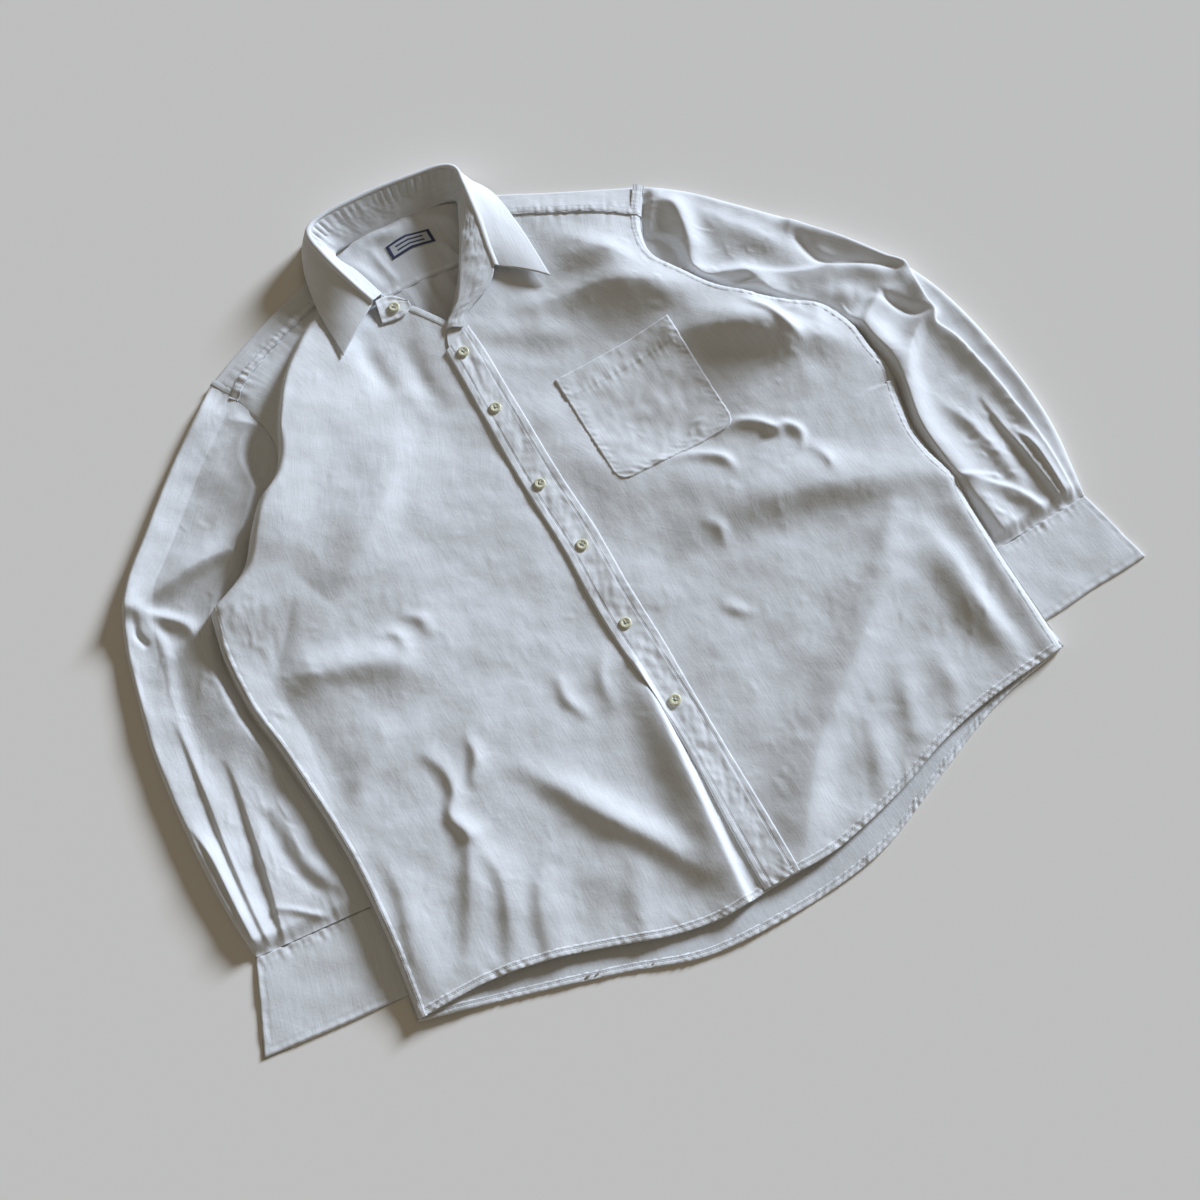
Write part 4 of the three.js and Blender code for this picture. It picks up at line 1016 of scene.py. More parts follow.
@dataclass(frozen=True)
class Poplin:
    """Pale washed poplin: plain weave, warp slubs, thin wrinkles, and rows of stitches where sewn, with
    painted shade darkening their grooves.
    """

    name: str
    tone: Tone = Tone.OUTSIDE
    stitches: tuple[float, ...] = ()
    pale: Colour = (0.83, 0.835, 0.84)
    wrinkle: float = 1.0
    warp_pitch: float = 0.00055
    weft_pitch: float = 0.00062
    stitch_length: float = 0.0026
    slub_shade: float = 0.94
    # How dark the painted shade in the stitch grooves is.
    painted_groove_shade: float = 0.84

    def _sewn(self, graph: Graph, across: Value, along: Value) -> tuple[Value, Value]:
        """Height of the rows of stitches in their grooves, and a mask of the grooves for their painted
        shade.
        """
        dash = graph.math("SINE", graph.math("MULTIPLY", along, 2 * math.pi / self.stitch_length))
        raised_thread = graph.between(dash, -0.55, 0.1)
        height: Value = 0.0
        painted_shade_mask: Value = 0.0
        for place in self.stitches:
            off = graph.math("ABSOLUTE", graph.math("SUBTRACT", across, place))
            thread = graph.math("SUBTRACT", 1.0, graph.between(off, 0.0002, 0.0006))
            groove = graph.math("SUBTRACT", 1.0, graph.between(off, 0.0005, 0.0016))
            stitch = graph.math("SUBTRACT", graph.math("MULTIPLY", thread, raised_thread), groove)
            height = graph.math("ADD", height, stitch)
            # The grooves' mask also darkens the colour there: painted shade.
            painted_shade_mask = graph.math("MAXIMUM", painted_shade_mask, groove)
        return height, painted_shade_mask

    def _lines(self, graph: Graph, place: Value, turn: float, scale: float) -> Value:
        """Thin long wrinkles that run one way, in patches.

        Args:
            graph: The material's nodes.
            place: Where a point lies on the cloth.
            turn: Direction of the wrinkles, in degrees.
            scale: How many to the metre.

        Returns:
            A height of 0 to 1.
        """
        turned = graph.add("Mapping", {}, Vector=place, Rotation=(0.0, 0.0, math.radians(turn)))
        drawn = graph.add("Mapping", {}, Vector=turned.outputs[0], Scale=(0.22, 1.0, 1.0))
        wander = graph.add("TexNoise", {}, Vector=drawn.outputs[0], Scale=scale, Detail=1.0, Roughness=0.4)
        off = graph.math("ABSOLUTE", graph.math("SUBTRACT", wander.outputs[0], 0.5))
        line = graph.math("SUBTRACT", 1.0, graph.between(off, 0.0, 0.035))
        spots = graph.add("TexNoise", {}, Vector=place, Scale=scale * 0.45, Detail=1.0)
        return graph.math("MULTIPLY", line, graph.between(spots.outputs[0], 0.46, 0.66))

    def material(self) -> bpy.types.Material:
        """The finished material."""
        graph = Graph(self.name)
        uv = graph.add("UVMap", {"uv_map": "UVMap"}).outputs[0]
        place = graph.add("TexCoord", {}).outputs["Object"]
        split = graph.add("SeparateXYZ", {}, Vector=uv)
        streak_place = graph.add("Mapping", {}, Vector=uv, Scale=(1.0, 0.06, 1.0))
        streaks = graph.add("TexNoise", {}, Vector=streak_place.outputs[0], Scale=560.0, Detail=3.0)
        warp = graph.math("SINE", graph.math("MULTIPLY", split.outputs[0], 2 * math.pi / self.warp_pitch))
        weft = graph.math("SINE", graph.math("MULTIPLY", split.outputs[1], 2 * math.pi / self.weft_pitch))
        weave = graph.math("MULTIPLY", warp, weft)
        nap = graph.add("TexNoise", {}, Vector=place, Scale=420.0, Detail=3.0, Roughness=0.6)
        swell = graph.add("TexNoise", {}, Vector=place, Scale=70.0, Detail=2.0, Roughness=0.5)
        rising = self._lines(graph, place, 48.0, 26.0)
        falling = self._lines(graph, place, -56.0, 34.0)
        thin = graph.math("ADD", rising, falling)
        normal = graph.bump(weave, 0.00005, 0.3)
        normal = graph.bump(nap.outputs[0], 0.0004, 0.35, normal)
        normal = graph.bump(streaks.outputs[0], 0.0003, 0.35, normal)
        normal = graph.bump(swell.outputs[0], 0.0016, 0.3 * self.wrinkle, normal)
        normal = graph.bump(thin, 0.0003, 0.12 * self.wrinkle, normal)
        level = self.tone.value
        pale = tuple(min(c * level, 1.0) for c in self.pale)
        deep = tuple(c * level * self.slub_shade for c in self.pale)
        colour = graph.mix(graph.between(streaks.outputs[0], 0.35, 0.65), (*deep, 1.0), (*pale, 1.0))
        if self.stitches:
            sewn, painted_shade_mask = self._sewn(graph, split.outputs[0], split.outputs[1])
            normal = graph.bump(sewn, 0.0004, 0.6, normal)
            # Painted shade: the cloth's colour is darkened in the stitch grooves, where shade would fall.
            painted_shade_colour = tuple(c * level * self.painted_groove_shade for c in self.pale)
            colour = graph.mix(graph.math("MULTIPLY", painted_shade_mask, 0.7), colour, (*painted_shade_colour, 1.0))
        surface = graph.surface
        graph.plug(surface.inputs["Base Color"], colour)
        graph.plug(surface.inputs["Normal"], normal)
        surface.inputs["Roughness"].default_value = 0.82
        surface.inputs["Specular IOR Level"].default_value = 0.25
        surface.inputs["Sheen Weight"].default_value = 0.08
        surface.inputs["Sheen Roughness"].default_value = 0.5
        return graph.material


@dataclass(frozen=True)
class ButtonFinish:
    """Cloudy cream resin with a soft gloss."""

    name: str = "cream_button"
    light: Colour = (0.84, 0.82, 0.62, 1.0)
    dark: Colour = (0.72, 0.69, 0.47, 1.0)

    def material(self) -> bpy.types.Material:
        """The finished material."""
        graph = Graph(self.name)
        place = graph.add("TexCoord", {}).outputs["Object"]
        cloud = graph.add("TexNoise", {}, Vector=place, Scale=260.0, Detail=3.0, Distortion=1.5)
        colour = graph.mix(cloud.outputs[0], self.light, self.dark)
        graph.plug(graph.surface.inputs["Base Color"], colour)
        graph.plug(graph.surface.inputs["Normal"], graph.bump(cloud.outputs[0], 0.0001, 0.2))
        graph.surface.inputs["Roughness"].default_value = 0.3
        graph.surface.inputs["Subsurface Weight"].default_value = 0.15
        graph.surface.inputs["Subsurface Radius"].default_value = (0.002, 0.0018, 0.001)
        return graph.material


@dataclass(frozen=True)
class ThreadFinish:
    """Pale sewing thread, twisted."""

    name: str = "sewing_thread"
    light: Colour = (0.78, 0.78, 0.74, 1.0)
    dark: Colour = (0.60, 0.60, 0.55, 1.0)

    def material(self) -> bpy.types.Material:
        """The finished material."""
        graph = Graph(self.name)
        place = graph.add("TexCoord", {}).outputs["Object"]
        twist = graph.add("TexWave", {}, Vector=place, Scale=900.0, Distortion=2.0)
        colour = graph.mix(twist.outputs[0], self.light, self.dark)
        graph.plug(graph.surface.inputs["Base Color"], colour)
        graph.plug(graph.surface.inputs["Normal"], graph.bump(twist.outputs[0], 0.0002, 0.6))
        graph.surface.inputs["Roughness"].default_value = 0.7
        return graph.material


@dataclass(frozen=True)
class LabelFinish:
    """Woven label: white field, navy border and two plain navy bars, on its own UV map."""

    name: str = "woven_label"
    width: float = 0.049
    height: float = 0.017
    white: Colour = (0.62, 0.64, 0.66, 1.0)
    navy: Colour = (0.022, 0.03, 0.11, 1.0)

    def material(self) -> bpy.types.Material:
        """The finished material."""
        graph = Graph(self.name)
        uv = graph.add("UVMap", {"uv_map": "UVMap"}).outputs[0]
        split = graph.add("SeparateXYZ", {}, Vector=uv)
        across = graph.math("ABSOLUTE", split.outputs[0])
        up = graph.math("ABSOLUTE", graph.math("SUBTRACT", split.outputs[1], self.height / 2))
        half = self.width / 2
        side = graph.between(across, half - 0.0034, half - 0.0030)
        ends = graph.between(up, self.height / 2 - 0.0026, self.height / 2 - 0.0022)
        border = graph.math("MAXIMUM", side, ends)
        near_bar = graph.math("ABSOLUTE", graph.math("SUBTRACT", up, 0.0024))
        bar = graph.math("SUBTRACT", 1.0, graph.between(near_bar, 0.0008, 0.0011))
        inside = graph.math("SUBTRACT", 1.0, graph.between(across, half - 0.009, half - 0.0086))
        drawn = graph.math("MAXIMUM", border, graph.math("MULTIPLY", bar, inside))
        ribs = graph.math("SINE", graph.math("MULTIPLY", split.outputs[1], 2 * math.pi / 0.0005))
        colour = graph.mix(drawn, self.white, self.navy)
        graph.plug(graph.surface.inputs["Base Color"], colour)
        graph.plug(graph.surface.inputs["Normal"], graph.bump(ribs, 0.0001, 0.5))
        graph.surface.inputs["Roughness"].default_value = 0.55
        graph.surface.inputs["Sheen Weight"].default_value = 0.3
        return graph.material


@dataclass(frozen=True)
class FloorFinish:
    """Matt pale grey paper."""

    name: str = "grey_paper"
    dark: Colour = (0.895, 0.845, 0.775, 1.0)
    light: Colour = (0.905, 0.855, 0.785, 1.0)

    def material(self) -> bpy.types.Material:
        """The finished material."""
        graph = Graph(self.name)
        place = graph.add("TexCoord", {}).outputs["Object"]
        grain = graph.add("TexNoise", {}, Vector=place, Scale=300.0, Detail=2.0)
        colour = graph.mix(grain.outputs[0], self.dark, self.light)
        graph.plug(graph.surface.inputs["Base Color"], colour)
        graph.surface.inputs["Roughness"].default_value = 0.95
        graph.surface.inputs["Specular IOR Level"].default_value = 0.1
        return graph.material


@dataclass
class Body:
    """Back, yoke and the two fronts."""

    maker: Maker
    form: BodyForm
    outside: bpy.types.Material
    inside: bpy.types.Material
    wall: float = 0.7

    def back(self) -> bpy.types.Object:
        """Builds the back, seen inside at the hem and under the neck."""
        plan = plan_grid(
            chained(SIDE_RIGHT, [*ARMHOLE_RIGHT[:-2], BACK_YOKE_SEAM[0]], 0.64),
            chained(SIDE_LEFT, [*ARMHOLE_LEFT[:-3], BACK_YOKE_SEAM[-1]], 0.32),
            smooth_line(HEM_BACK), smooth_line(BACK_YOKE_SEAM), shares(112), shares(120))
        piece = self.maker.cloth("back_panel", raised(plan, self.form.back_worn), self.inside, self.wall)
        return self.maker.keep(piece, "cloth", "back")

    def front_right(self) -> bpy.types.Object:
        """Builds the right front, its side rolled under."""
        plan = plan_grid(
            chained(SIDE_RIGHT, ARMHOLE_RIGHT[:-1], 0.61), smooth_line(OPENING_RIGHT),
            smooth_line(HEM_RIGHT), chained(YOKE_SEAM_RIGHT, NECK_RIGHT, 0.7), shares(148), shares(304))
        points = rolled_under(raised(plan, self.form.top), False)
        piece = self.maker.cloth("front_right_panel", points, self.outside, self.wall)
        return self.maker.keep(piece, "cloth", "front_right")

    def front_left(self) -> bpy.types.Object:
        """Builds the left front, lapped over the right one at the opening."""
        plan = plan_grid(
            smooth_line(OPENING_LEFT), chained(SIDE_LEFT, ARMHOLE_LEFT[:-1], 0.3),
            smooth_line(HEM_LEFT), chained(NECK_LEFT, YOKE_SEAM_LEFT, 0.4), shares(152), shares(298))
        points = rolled_under(raised(plan, self.form.left_top), True)
        piece = self.maker.cloth("front_left_panel", points, self.outside, self.wall)
        return self.maker.keep(piece, "cloth", "front_left")

    def yoke_inside(self) -> bpy.types.Object:
        """Builds the yoke's back half, flat under the neck and seen inside."""
        top = [*SHOULDER_RIGHT, *BACK_NECK[1:-1], *SHOULDER_LEFT]
        plan = plan_grid(
            smooth_line([BACK_YOKE_SEAM[0], top[0]]), smooth_line([BACK_YOKE_SEAM[-1], top[-1]]),
            smooth_line(BACK_YOKE_SEAM), smooth_line(top), shares(220), shares(48))
        piece = self.maker.cloth("yoke_inside", raised(plan, self.form.yoke_top), self.inside, self.wall)
        return self.maker.keep(piece, "cloth", "yoke")

    def yoke_shoulder(self, side: Side) -> bpy.types.Object:
        """Builds the yoke's fold over one shoulder, from the floor to its front seam."""
        right = side is Side.RIGHT
        shoulder, seam = (SHOULDER_RIGHT, YOKE_SEAM_RIGHT) if right else (SHOULDER_LEFT, YOKE_SEAM_LEFT)
        seam_top = self.form.top if right else self.form.left_top
        along = shares(130)
        fold = walk(smooth_line(shoulder), along)[:, None]
        edge = walk(smooth_line(seam), along)[:, None] - np.array([0, 2.0])
        across = np.concatenate([[0.05, 0.0, -0.01, 0.0, 0.03], np.linspace(0.07, 1, 30)])
        rise = np.concatenate([[0.3, 1.0, 2.2, 3.4, 4.3], np.full(30, np.nan)])
        plan = fold + (edge - fold) * across[None, :, None]
        x, y = plan[..., 0], plan[..., 1]
        end_x, end_y = x[:, -1:], y[:, -1:]
        seam_height = np.maximum(seam_top(end_x, end_y), seam_top(end_x, end_y + 2)) + 0.9
        share = np.clip(across, 0, 1)[None]
        top = SHOULDER_EDGE + (seam_height - SHOULDER_EDGE) * share**1.1
        pinch = 0.9 * crumple.soft(along[:, None] * 28 + 2.0, share * 1.5) * smoothstep(share, 0.35, 0.95)
        worn = 0.9 * fine_crumple(x, y) * smoothstep(share, 0.05, 0.3) * (1 - 0.6 * share)
        z = np.where(np.isnan(rise)[None], top + pinch + worn, np.nan_to_num(rise)[None])
        name = f"yoke_shoulder_{side.value}"
        piece = self.maker.cloth(name, at_height(plan, z), self.outside, self.wall)
        return self.maker.keep(piece, "cloth", "yoke")


@dataclass(frozen=True)
class Band:
    """A sewn band: its line, its width to the line's left, its height, and how it puckers."""

    name: str
    line: Rows
    width: float
    lift: float
    pucker: float
    pitch: float
    skew: float = 0.0
    wrap: bool = False


@dataclass
class Trim:
    """Hems, felled seams, the placket and the pocket."""

    maker: Maker
    form: BodyForm

    def band(self, band: Band, height: Height, finish: bpy.types.Material) -> bpy.types.Object:
        """A narrow band of doubled cloth lying along a line.

        Args:
            band: Its sizes.
            height: Height of what it lies on.
            finish: Its material.

        Returns:
            The piece.
        """
        line = smooth_line(band.line)
        length = float(plan_steps(line).sum())
        count = max(8, int(length))
        centre = walk(line, shares(count))
        ahead = np.gradient(centre, axis=0)
        normal = np.stack([-ahead[:, 1], ahead[:, 0]], 1) / np.hypot(ahead[:, 0], ahead[:, 1])[:, None]
        w = band.width
        if band.wrap:
            off = np.array([2.2, 0.6, -0.3, -0.6, -0.2, 0.8, 2.0, 0.45 * w, 0.7 * w, w - 0.8, w, w + 0.8])
            rise = np.array([-2.2, -2.1, -1.4, -0.4, 0.5, 1.0, 0.9, 0.8, 0.85, 0.9, 0.2, -0.7])
        else:
            off = np.array([-0.6, 0.1, 0.8, 0.25 * w, 0.5 * w, 0.75 * w, w - 0.8, w - 0.1, w + 0.7])
            rise = np.array([-0.6, 0.2, 0.9, 0.8, 1.0, 0.8, 0.9, 0.2, -0.6])
        rise = rise * band.lift
        along = shares(count) * length
        plan = centre[:, None] + normal[:, None] * off[None, :, None]
        run = along[:, None] + band.skew * off[None]
        wave = crumple.soft(run / band.pitch + w, off[None] / (2.2 * w) + 0.37 * w)
        slow = 0.6 + 0.8 * np.abs(crumple.soft(along[:, None] / 23 + 4.0, 0 * off[None] + w))
        z = height(plan[..., 0], plan[..., 1]) + rise[None] + band.pucker * wave * slow * (rise[None] > 0)
        piece = self.maker.cloth(band.name, at_height(plan, np.maximum(z, 0.3)), finish, 0)
        return self.maker.keep(piece, "cloth")

    def placket(self, finish: bpy.types.Material) -> bpy.types.Object:
        """The placket band down the edge of the left front."""
        along = shares(PLACKET_LENGTH)
        left = walk(smooth_line([row[:2] for row in PLACKET_ROWS]), along)[:, None]
        right = walk(smooth_line([row[2:] for row in PLACKET_ROWS]), along)[:, None]
        across = np.concatenate([[-0.03, -0.018], np.linspace(0, 1, 33), [1.015, 1.03]])
        plan = left + (right - left) * across[None, :, None]
        x, y = plan[..., 0], plan[..., 1]
        share = np.clip(across, 0, 1)[None]
        edge = np.minimum(share, 1 - share) * PLACKET_WIDTH
        run = along[:, None] * PLACKET_LENGTH
        pinch = 0.45 * crumple.soft(run / 6.5 + 3.3, share * 1.6 + 1.0) * np.exp(-((edge - 4) / 4) ** 2)
        channel = -0.1 * np.exp(-((edge - 6) / 1.2) ** 2)
        bend = 0.7 * crumple.soft(run / 60, share)
        long_wave = 0.8 * crumple.soft(share * 3.2 + bend, run / 40 + 7.0)
        slant = 0.42 * crumple.soft((run + 26 * share) / 10, share * 3 + 9.0)
        slant = slant + 0.42 * crumple.soft((run - 44 * share) / 13 + 5, share * 3.4 + 2.0)
        welt = 0.12 * edge_roll(edge, 2.0)
        skirt = np.concatenate([[-2.0, -0.9], np.zeros(33), [-0.6, -1.2]])[None]
        worn = (long_wave + slant) * smoothstep(edge, 1, 8)
        z = self.form.left_top(x, y) + 0.75 + welt + pinch + channel + worn + skirt
        piece = self.maker.cloth("placket_band", at_height(plan, z), finish, 0)
        return self.maker.keep(piece, "cloth", "placket")

    def pocket(self, finish: bpy.types.Material) -> bpy.types.Object:
        """The chest pocket, with its turned top and rounded lower corners."""
        left, right = POCKET_SIDES
        bottom, top = POCKET_LEVELS
        width = right - left
        height = top - bottom
        across = np.concatenate([[-0.008], np.linspace(0, 1, 96), [1.008]])
        along = across
        v = np.clip(along, 0, 1)
        y = bottom + height * along
        low = np.clip(1 - (y - bottom) / 14, 0, 1)
        inset = 11.2 * (1 - np.sqrt(1 - low**2))
        x = (left + inset)[:, None] + (width - 2 * inset)[:, None] * across[None]
        plan = np.stack([x, y[:, None] + 5 * (v[:, None] * across[None])], -1)
        share = np.clip(across, 0, 1)[None]
        side = np.minimum(share, 1 - share) * width
        edge = np.minimum(side, v[:, None] * height + 0 * side)
        down = (1 - v)[:, None] * height + 0 * side
        pinch = 0.6 * crumple.soft(x / 6 + y[:, None] / 6, y[:, None] / 7 + 4)
        pinch = pinch * np.exp(-((edge - 3) / 6) ** 2)
        channel = -0.15 * np.exp(-((edge - 2.2) / 0.9) ** 2)
        hem = 0.5 * (1 - smoothstep(down, 23, 26))
        drawn = 0.7 * crumple.soft(x / 6 + 5, down / 30) * np.exp(-(((down - 24) / 7) ** 2))
        body = 0.5 * crumple.soft(x / 30, plan[..., 1] / 26)
        body = body + 0.4 * crumple.soft(x / 12 + 3, plan[..., 1] / 15)
        skirt = np.where((across < 0) | (across > 1), -1.1, 0)[None]
        skirt = skirt + np.where((along < 0) | (along > 1), -1.1, 0)[:, None]
        base = self.form.left_top(plan[..., 0], plan[..., 1]) + 1.1
        z = base + hem + drawn + pinch + channel + body + skirt
        piece = self.maker.cloth("pocket_patch", at_height(plan, z), finish, 0)
        return self.maker.keep(piece, "cloth", "pocket")


@dataclass(frozen=True)
class SleeveCut:
    """One sleeve's lines: its outer and inner edge, armhole mouth, cuff seam and folds.

    Beside is how far past the body's edge it takes to rise, and roll how far in from its outer edge.
    Ease is how much slower it rises from its mouth beside the shoulder.
    """

    side: Side
    outer: Rows
    inner: Rows
    mouth: Rows
    seam: Rows
    folds: tuple[Fold, ...]
    ease: float
    beside: float
    roll: float


SLEEVE_RIGHT_FOLDS = (
    Fold(((-276, 346, 1), (-312, 308, 3), (-356, 262, 5), (-388, 222, 6), (-404, 190, 4)), 16, 8),
    Fold(((-412, 176, 2), (-418, 130, 4), (-424, 70, 4), (-427, 0, 4.5), (-427, -60, 5),
          (-423, -120, 4.5), (-421, -146, 3)), 22, 5),
    Fold(((-348, 150, 0), (-350, 110, 2), (-350, 60, 2), (-342, 20, 1), (-338, -10, 0)), 8, 30),
    Fold(((-386, 199, 6), (-352, 204, 9), (-318, 209, 10), (-284, 207, 9), (-262, 200, 5)), 18, 10, 0.2),
    Fold(((-386, 196, 2), (-379, 168, 5), (-380, 140, 4), (-387, 116, 3), (-395, 92, 1)), 8, 15, 0.1),
    Fold(((-389, 190, -1), (-394, 175, -3), (-391, 162, -2)), 3.5, 3.5),
    Fold(((-380, 192, 3), (-364, 176, 6), (-350, 160, 4), (-346, 140, 2)), 8, 8, 0.2),
    Fold(((-386, 118, 1), (-395, 84, 3), (-399, 44, 3), (-401, 4, 1)), 8, 14),
    Fold(((-396, 76, 1), (-398, 30, 3), (-400, -8, 4), (-403, -50, 4.5), (-405, -100, 4),
          (-405, -147, 3)), 18, 3, 0.3),
    Fold(((-371, 28, 0), (-371, 5, 2), (-376, -40, 4), (-382, -90, 4.5), (-392, -147, 3)), 19, 3.2, 0.3),
    Fold(((-422, -24, 1), (-418, -52, 4), (-417, -100, 4), (-415, -147, 2)), 9, 2.4, 0.3),
    Fold(((-362, -44, -1), (-360, -80, -1.5), (-352, -112, -2), (-338, -131, -1)), 7, 7),
    Fold(((-350, -40, 1), (-347, -90, 2.5), (-337, -122, 2)), 9, 9),
    Fold(((-388, -119, 1), (-372, -130, 2), (-354, -146, 2)), 4, 4, 0.3),
)
SLEEVE_LEFT_FOLDS = (
    Fold(((269, 360, 4), (276, 342, 10), (274, 320, 12), (268, 296, 11), (258, 272, 6)), 13, 13, 0.2),
    Fold(((292, 336, 2), (312, 304, 5), (336, 268, 5), (352, 240, 3)), 14, 18),
    Fold(((318, 342, 1), (348, 300, 3), (372, 268, 3)), 14, 14),
    Fold(((250, 270, 4), (262, 255, 8), (283, 245, 9), (300, 238, 9), (308, 224, 8),
          (315, 205, 5)), 14, 8, 0.2),
    Fold(((284, 230, 2), (296, 225, 5), (307, 214, 3)), 5, 5),
    Fold(((276, 250, 2), (312, 231, 4), (354, 209, 6), (388, 200, 9), (412, 186, 10),
          (434, 164, 6)), 7, 22, 0.1),
    Fold(((372, 250, -3), (376, 224, -5), (388, 208, -5), (412, 192, -5), (436, 168, -2)), 6, 6),
    Fold(((376, 270, 4), (402, 238, 8), (432, 200, 9), (448, 173, 8)), 6, 12),
    Fold(((366, 176, 4), (376, 168, 6), (384, 162, 4)), 14, 14),
    Fold(((364, 120, 4), (382, 134, 8), (404, 148, 8), (412, 150, 4)), 7, 16, 0.1),
    Fold(((404, 152, -2), (416, 138, -6), (428, 118, -5), (436, 110, -2)), 6, 6),
    Fold(((380, 60, 3), (398, 82, 8), (420, 99, 9), (440, 107, 8)), 13, 7, 0.3),
    Fold(((450, 174, 6), (447, 150, 8), (445, 125, 9), (442, 108, 9), (438, 96, 7), (445, 76, 6),
          (451, 40, 7), (455, 0, 7), (456, -40, 7), (454, -90, 6), (451, -127, 4)), 2.6, 14, 0.3),
    Fold(((462, 158, 1), (471, 100, 4), (477, 40, 5), (478, -10, 5), (474, -60, 4), (464, -105, 2)), 4, 12),
    Fold(((431, 0, 1), (432, -40, 4), (434, -90, 5), (437, -130, 3)), 10, 3, 0.4),
    Fold(((438, -44, 1), (443, -60, 4), (444, -95, 4), (443, -130, 2)), 6, 3, 0.4),
    Fold(((364, -62, 2), (384, -80, 5), (404, -102, 6), (416, -128, 4)), 6, 10, 0.3),
    Fold(((364, -62, 2), (378, -67, 3), (394, -76, 2)), 4, 5, 0.3),
    Fold(((392, 18, 1), (404, -12, 4), (410, -52, 4), (412, -90, 2)), 9, 8, 0.2),
    Fold(((368, 132, 8), (377, 92, 12), (371, 50, 12), (360, 10, 11), (361, -30, 9), (366, -90, 8),
          (370, -130, 5)), 18, 6),
)


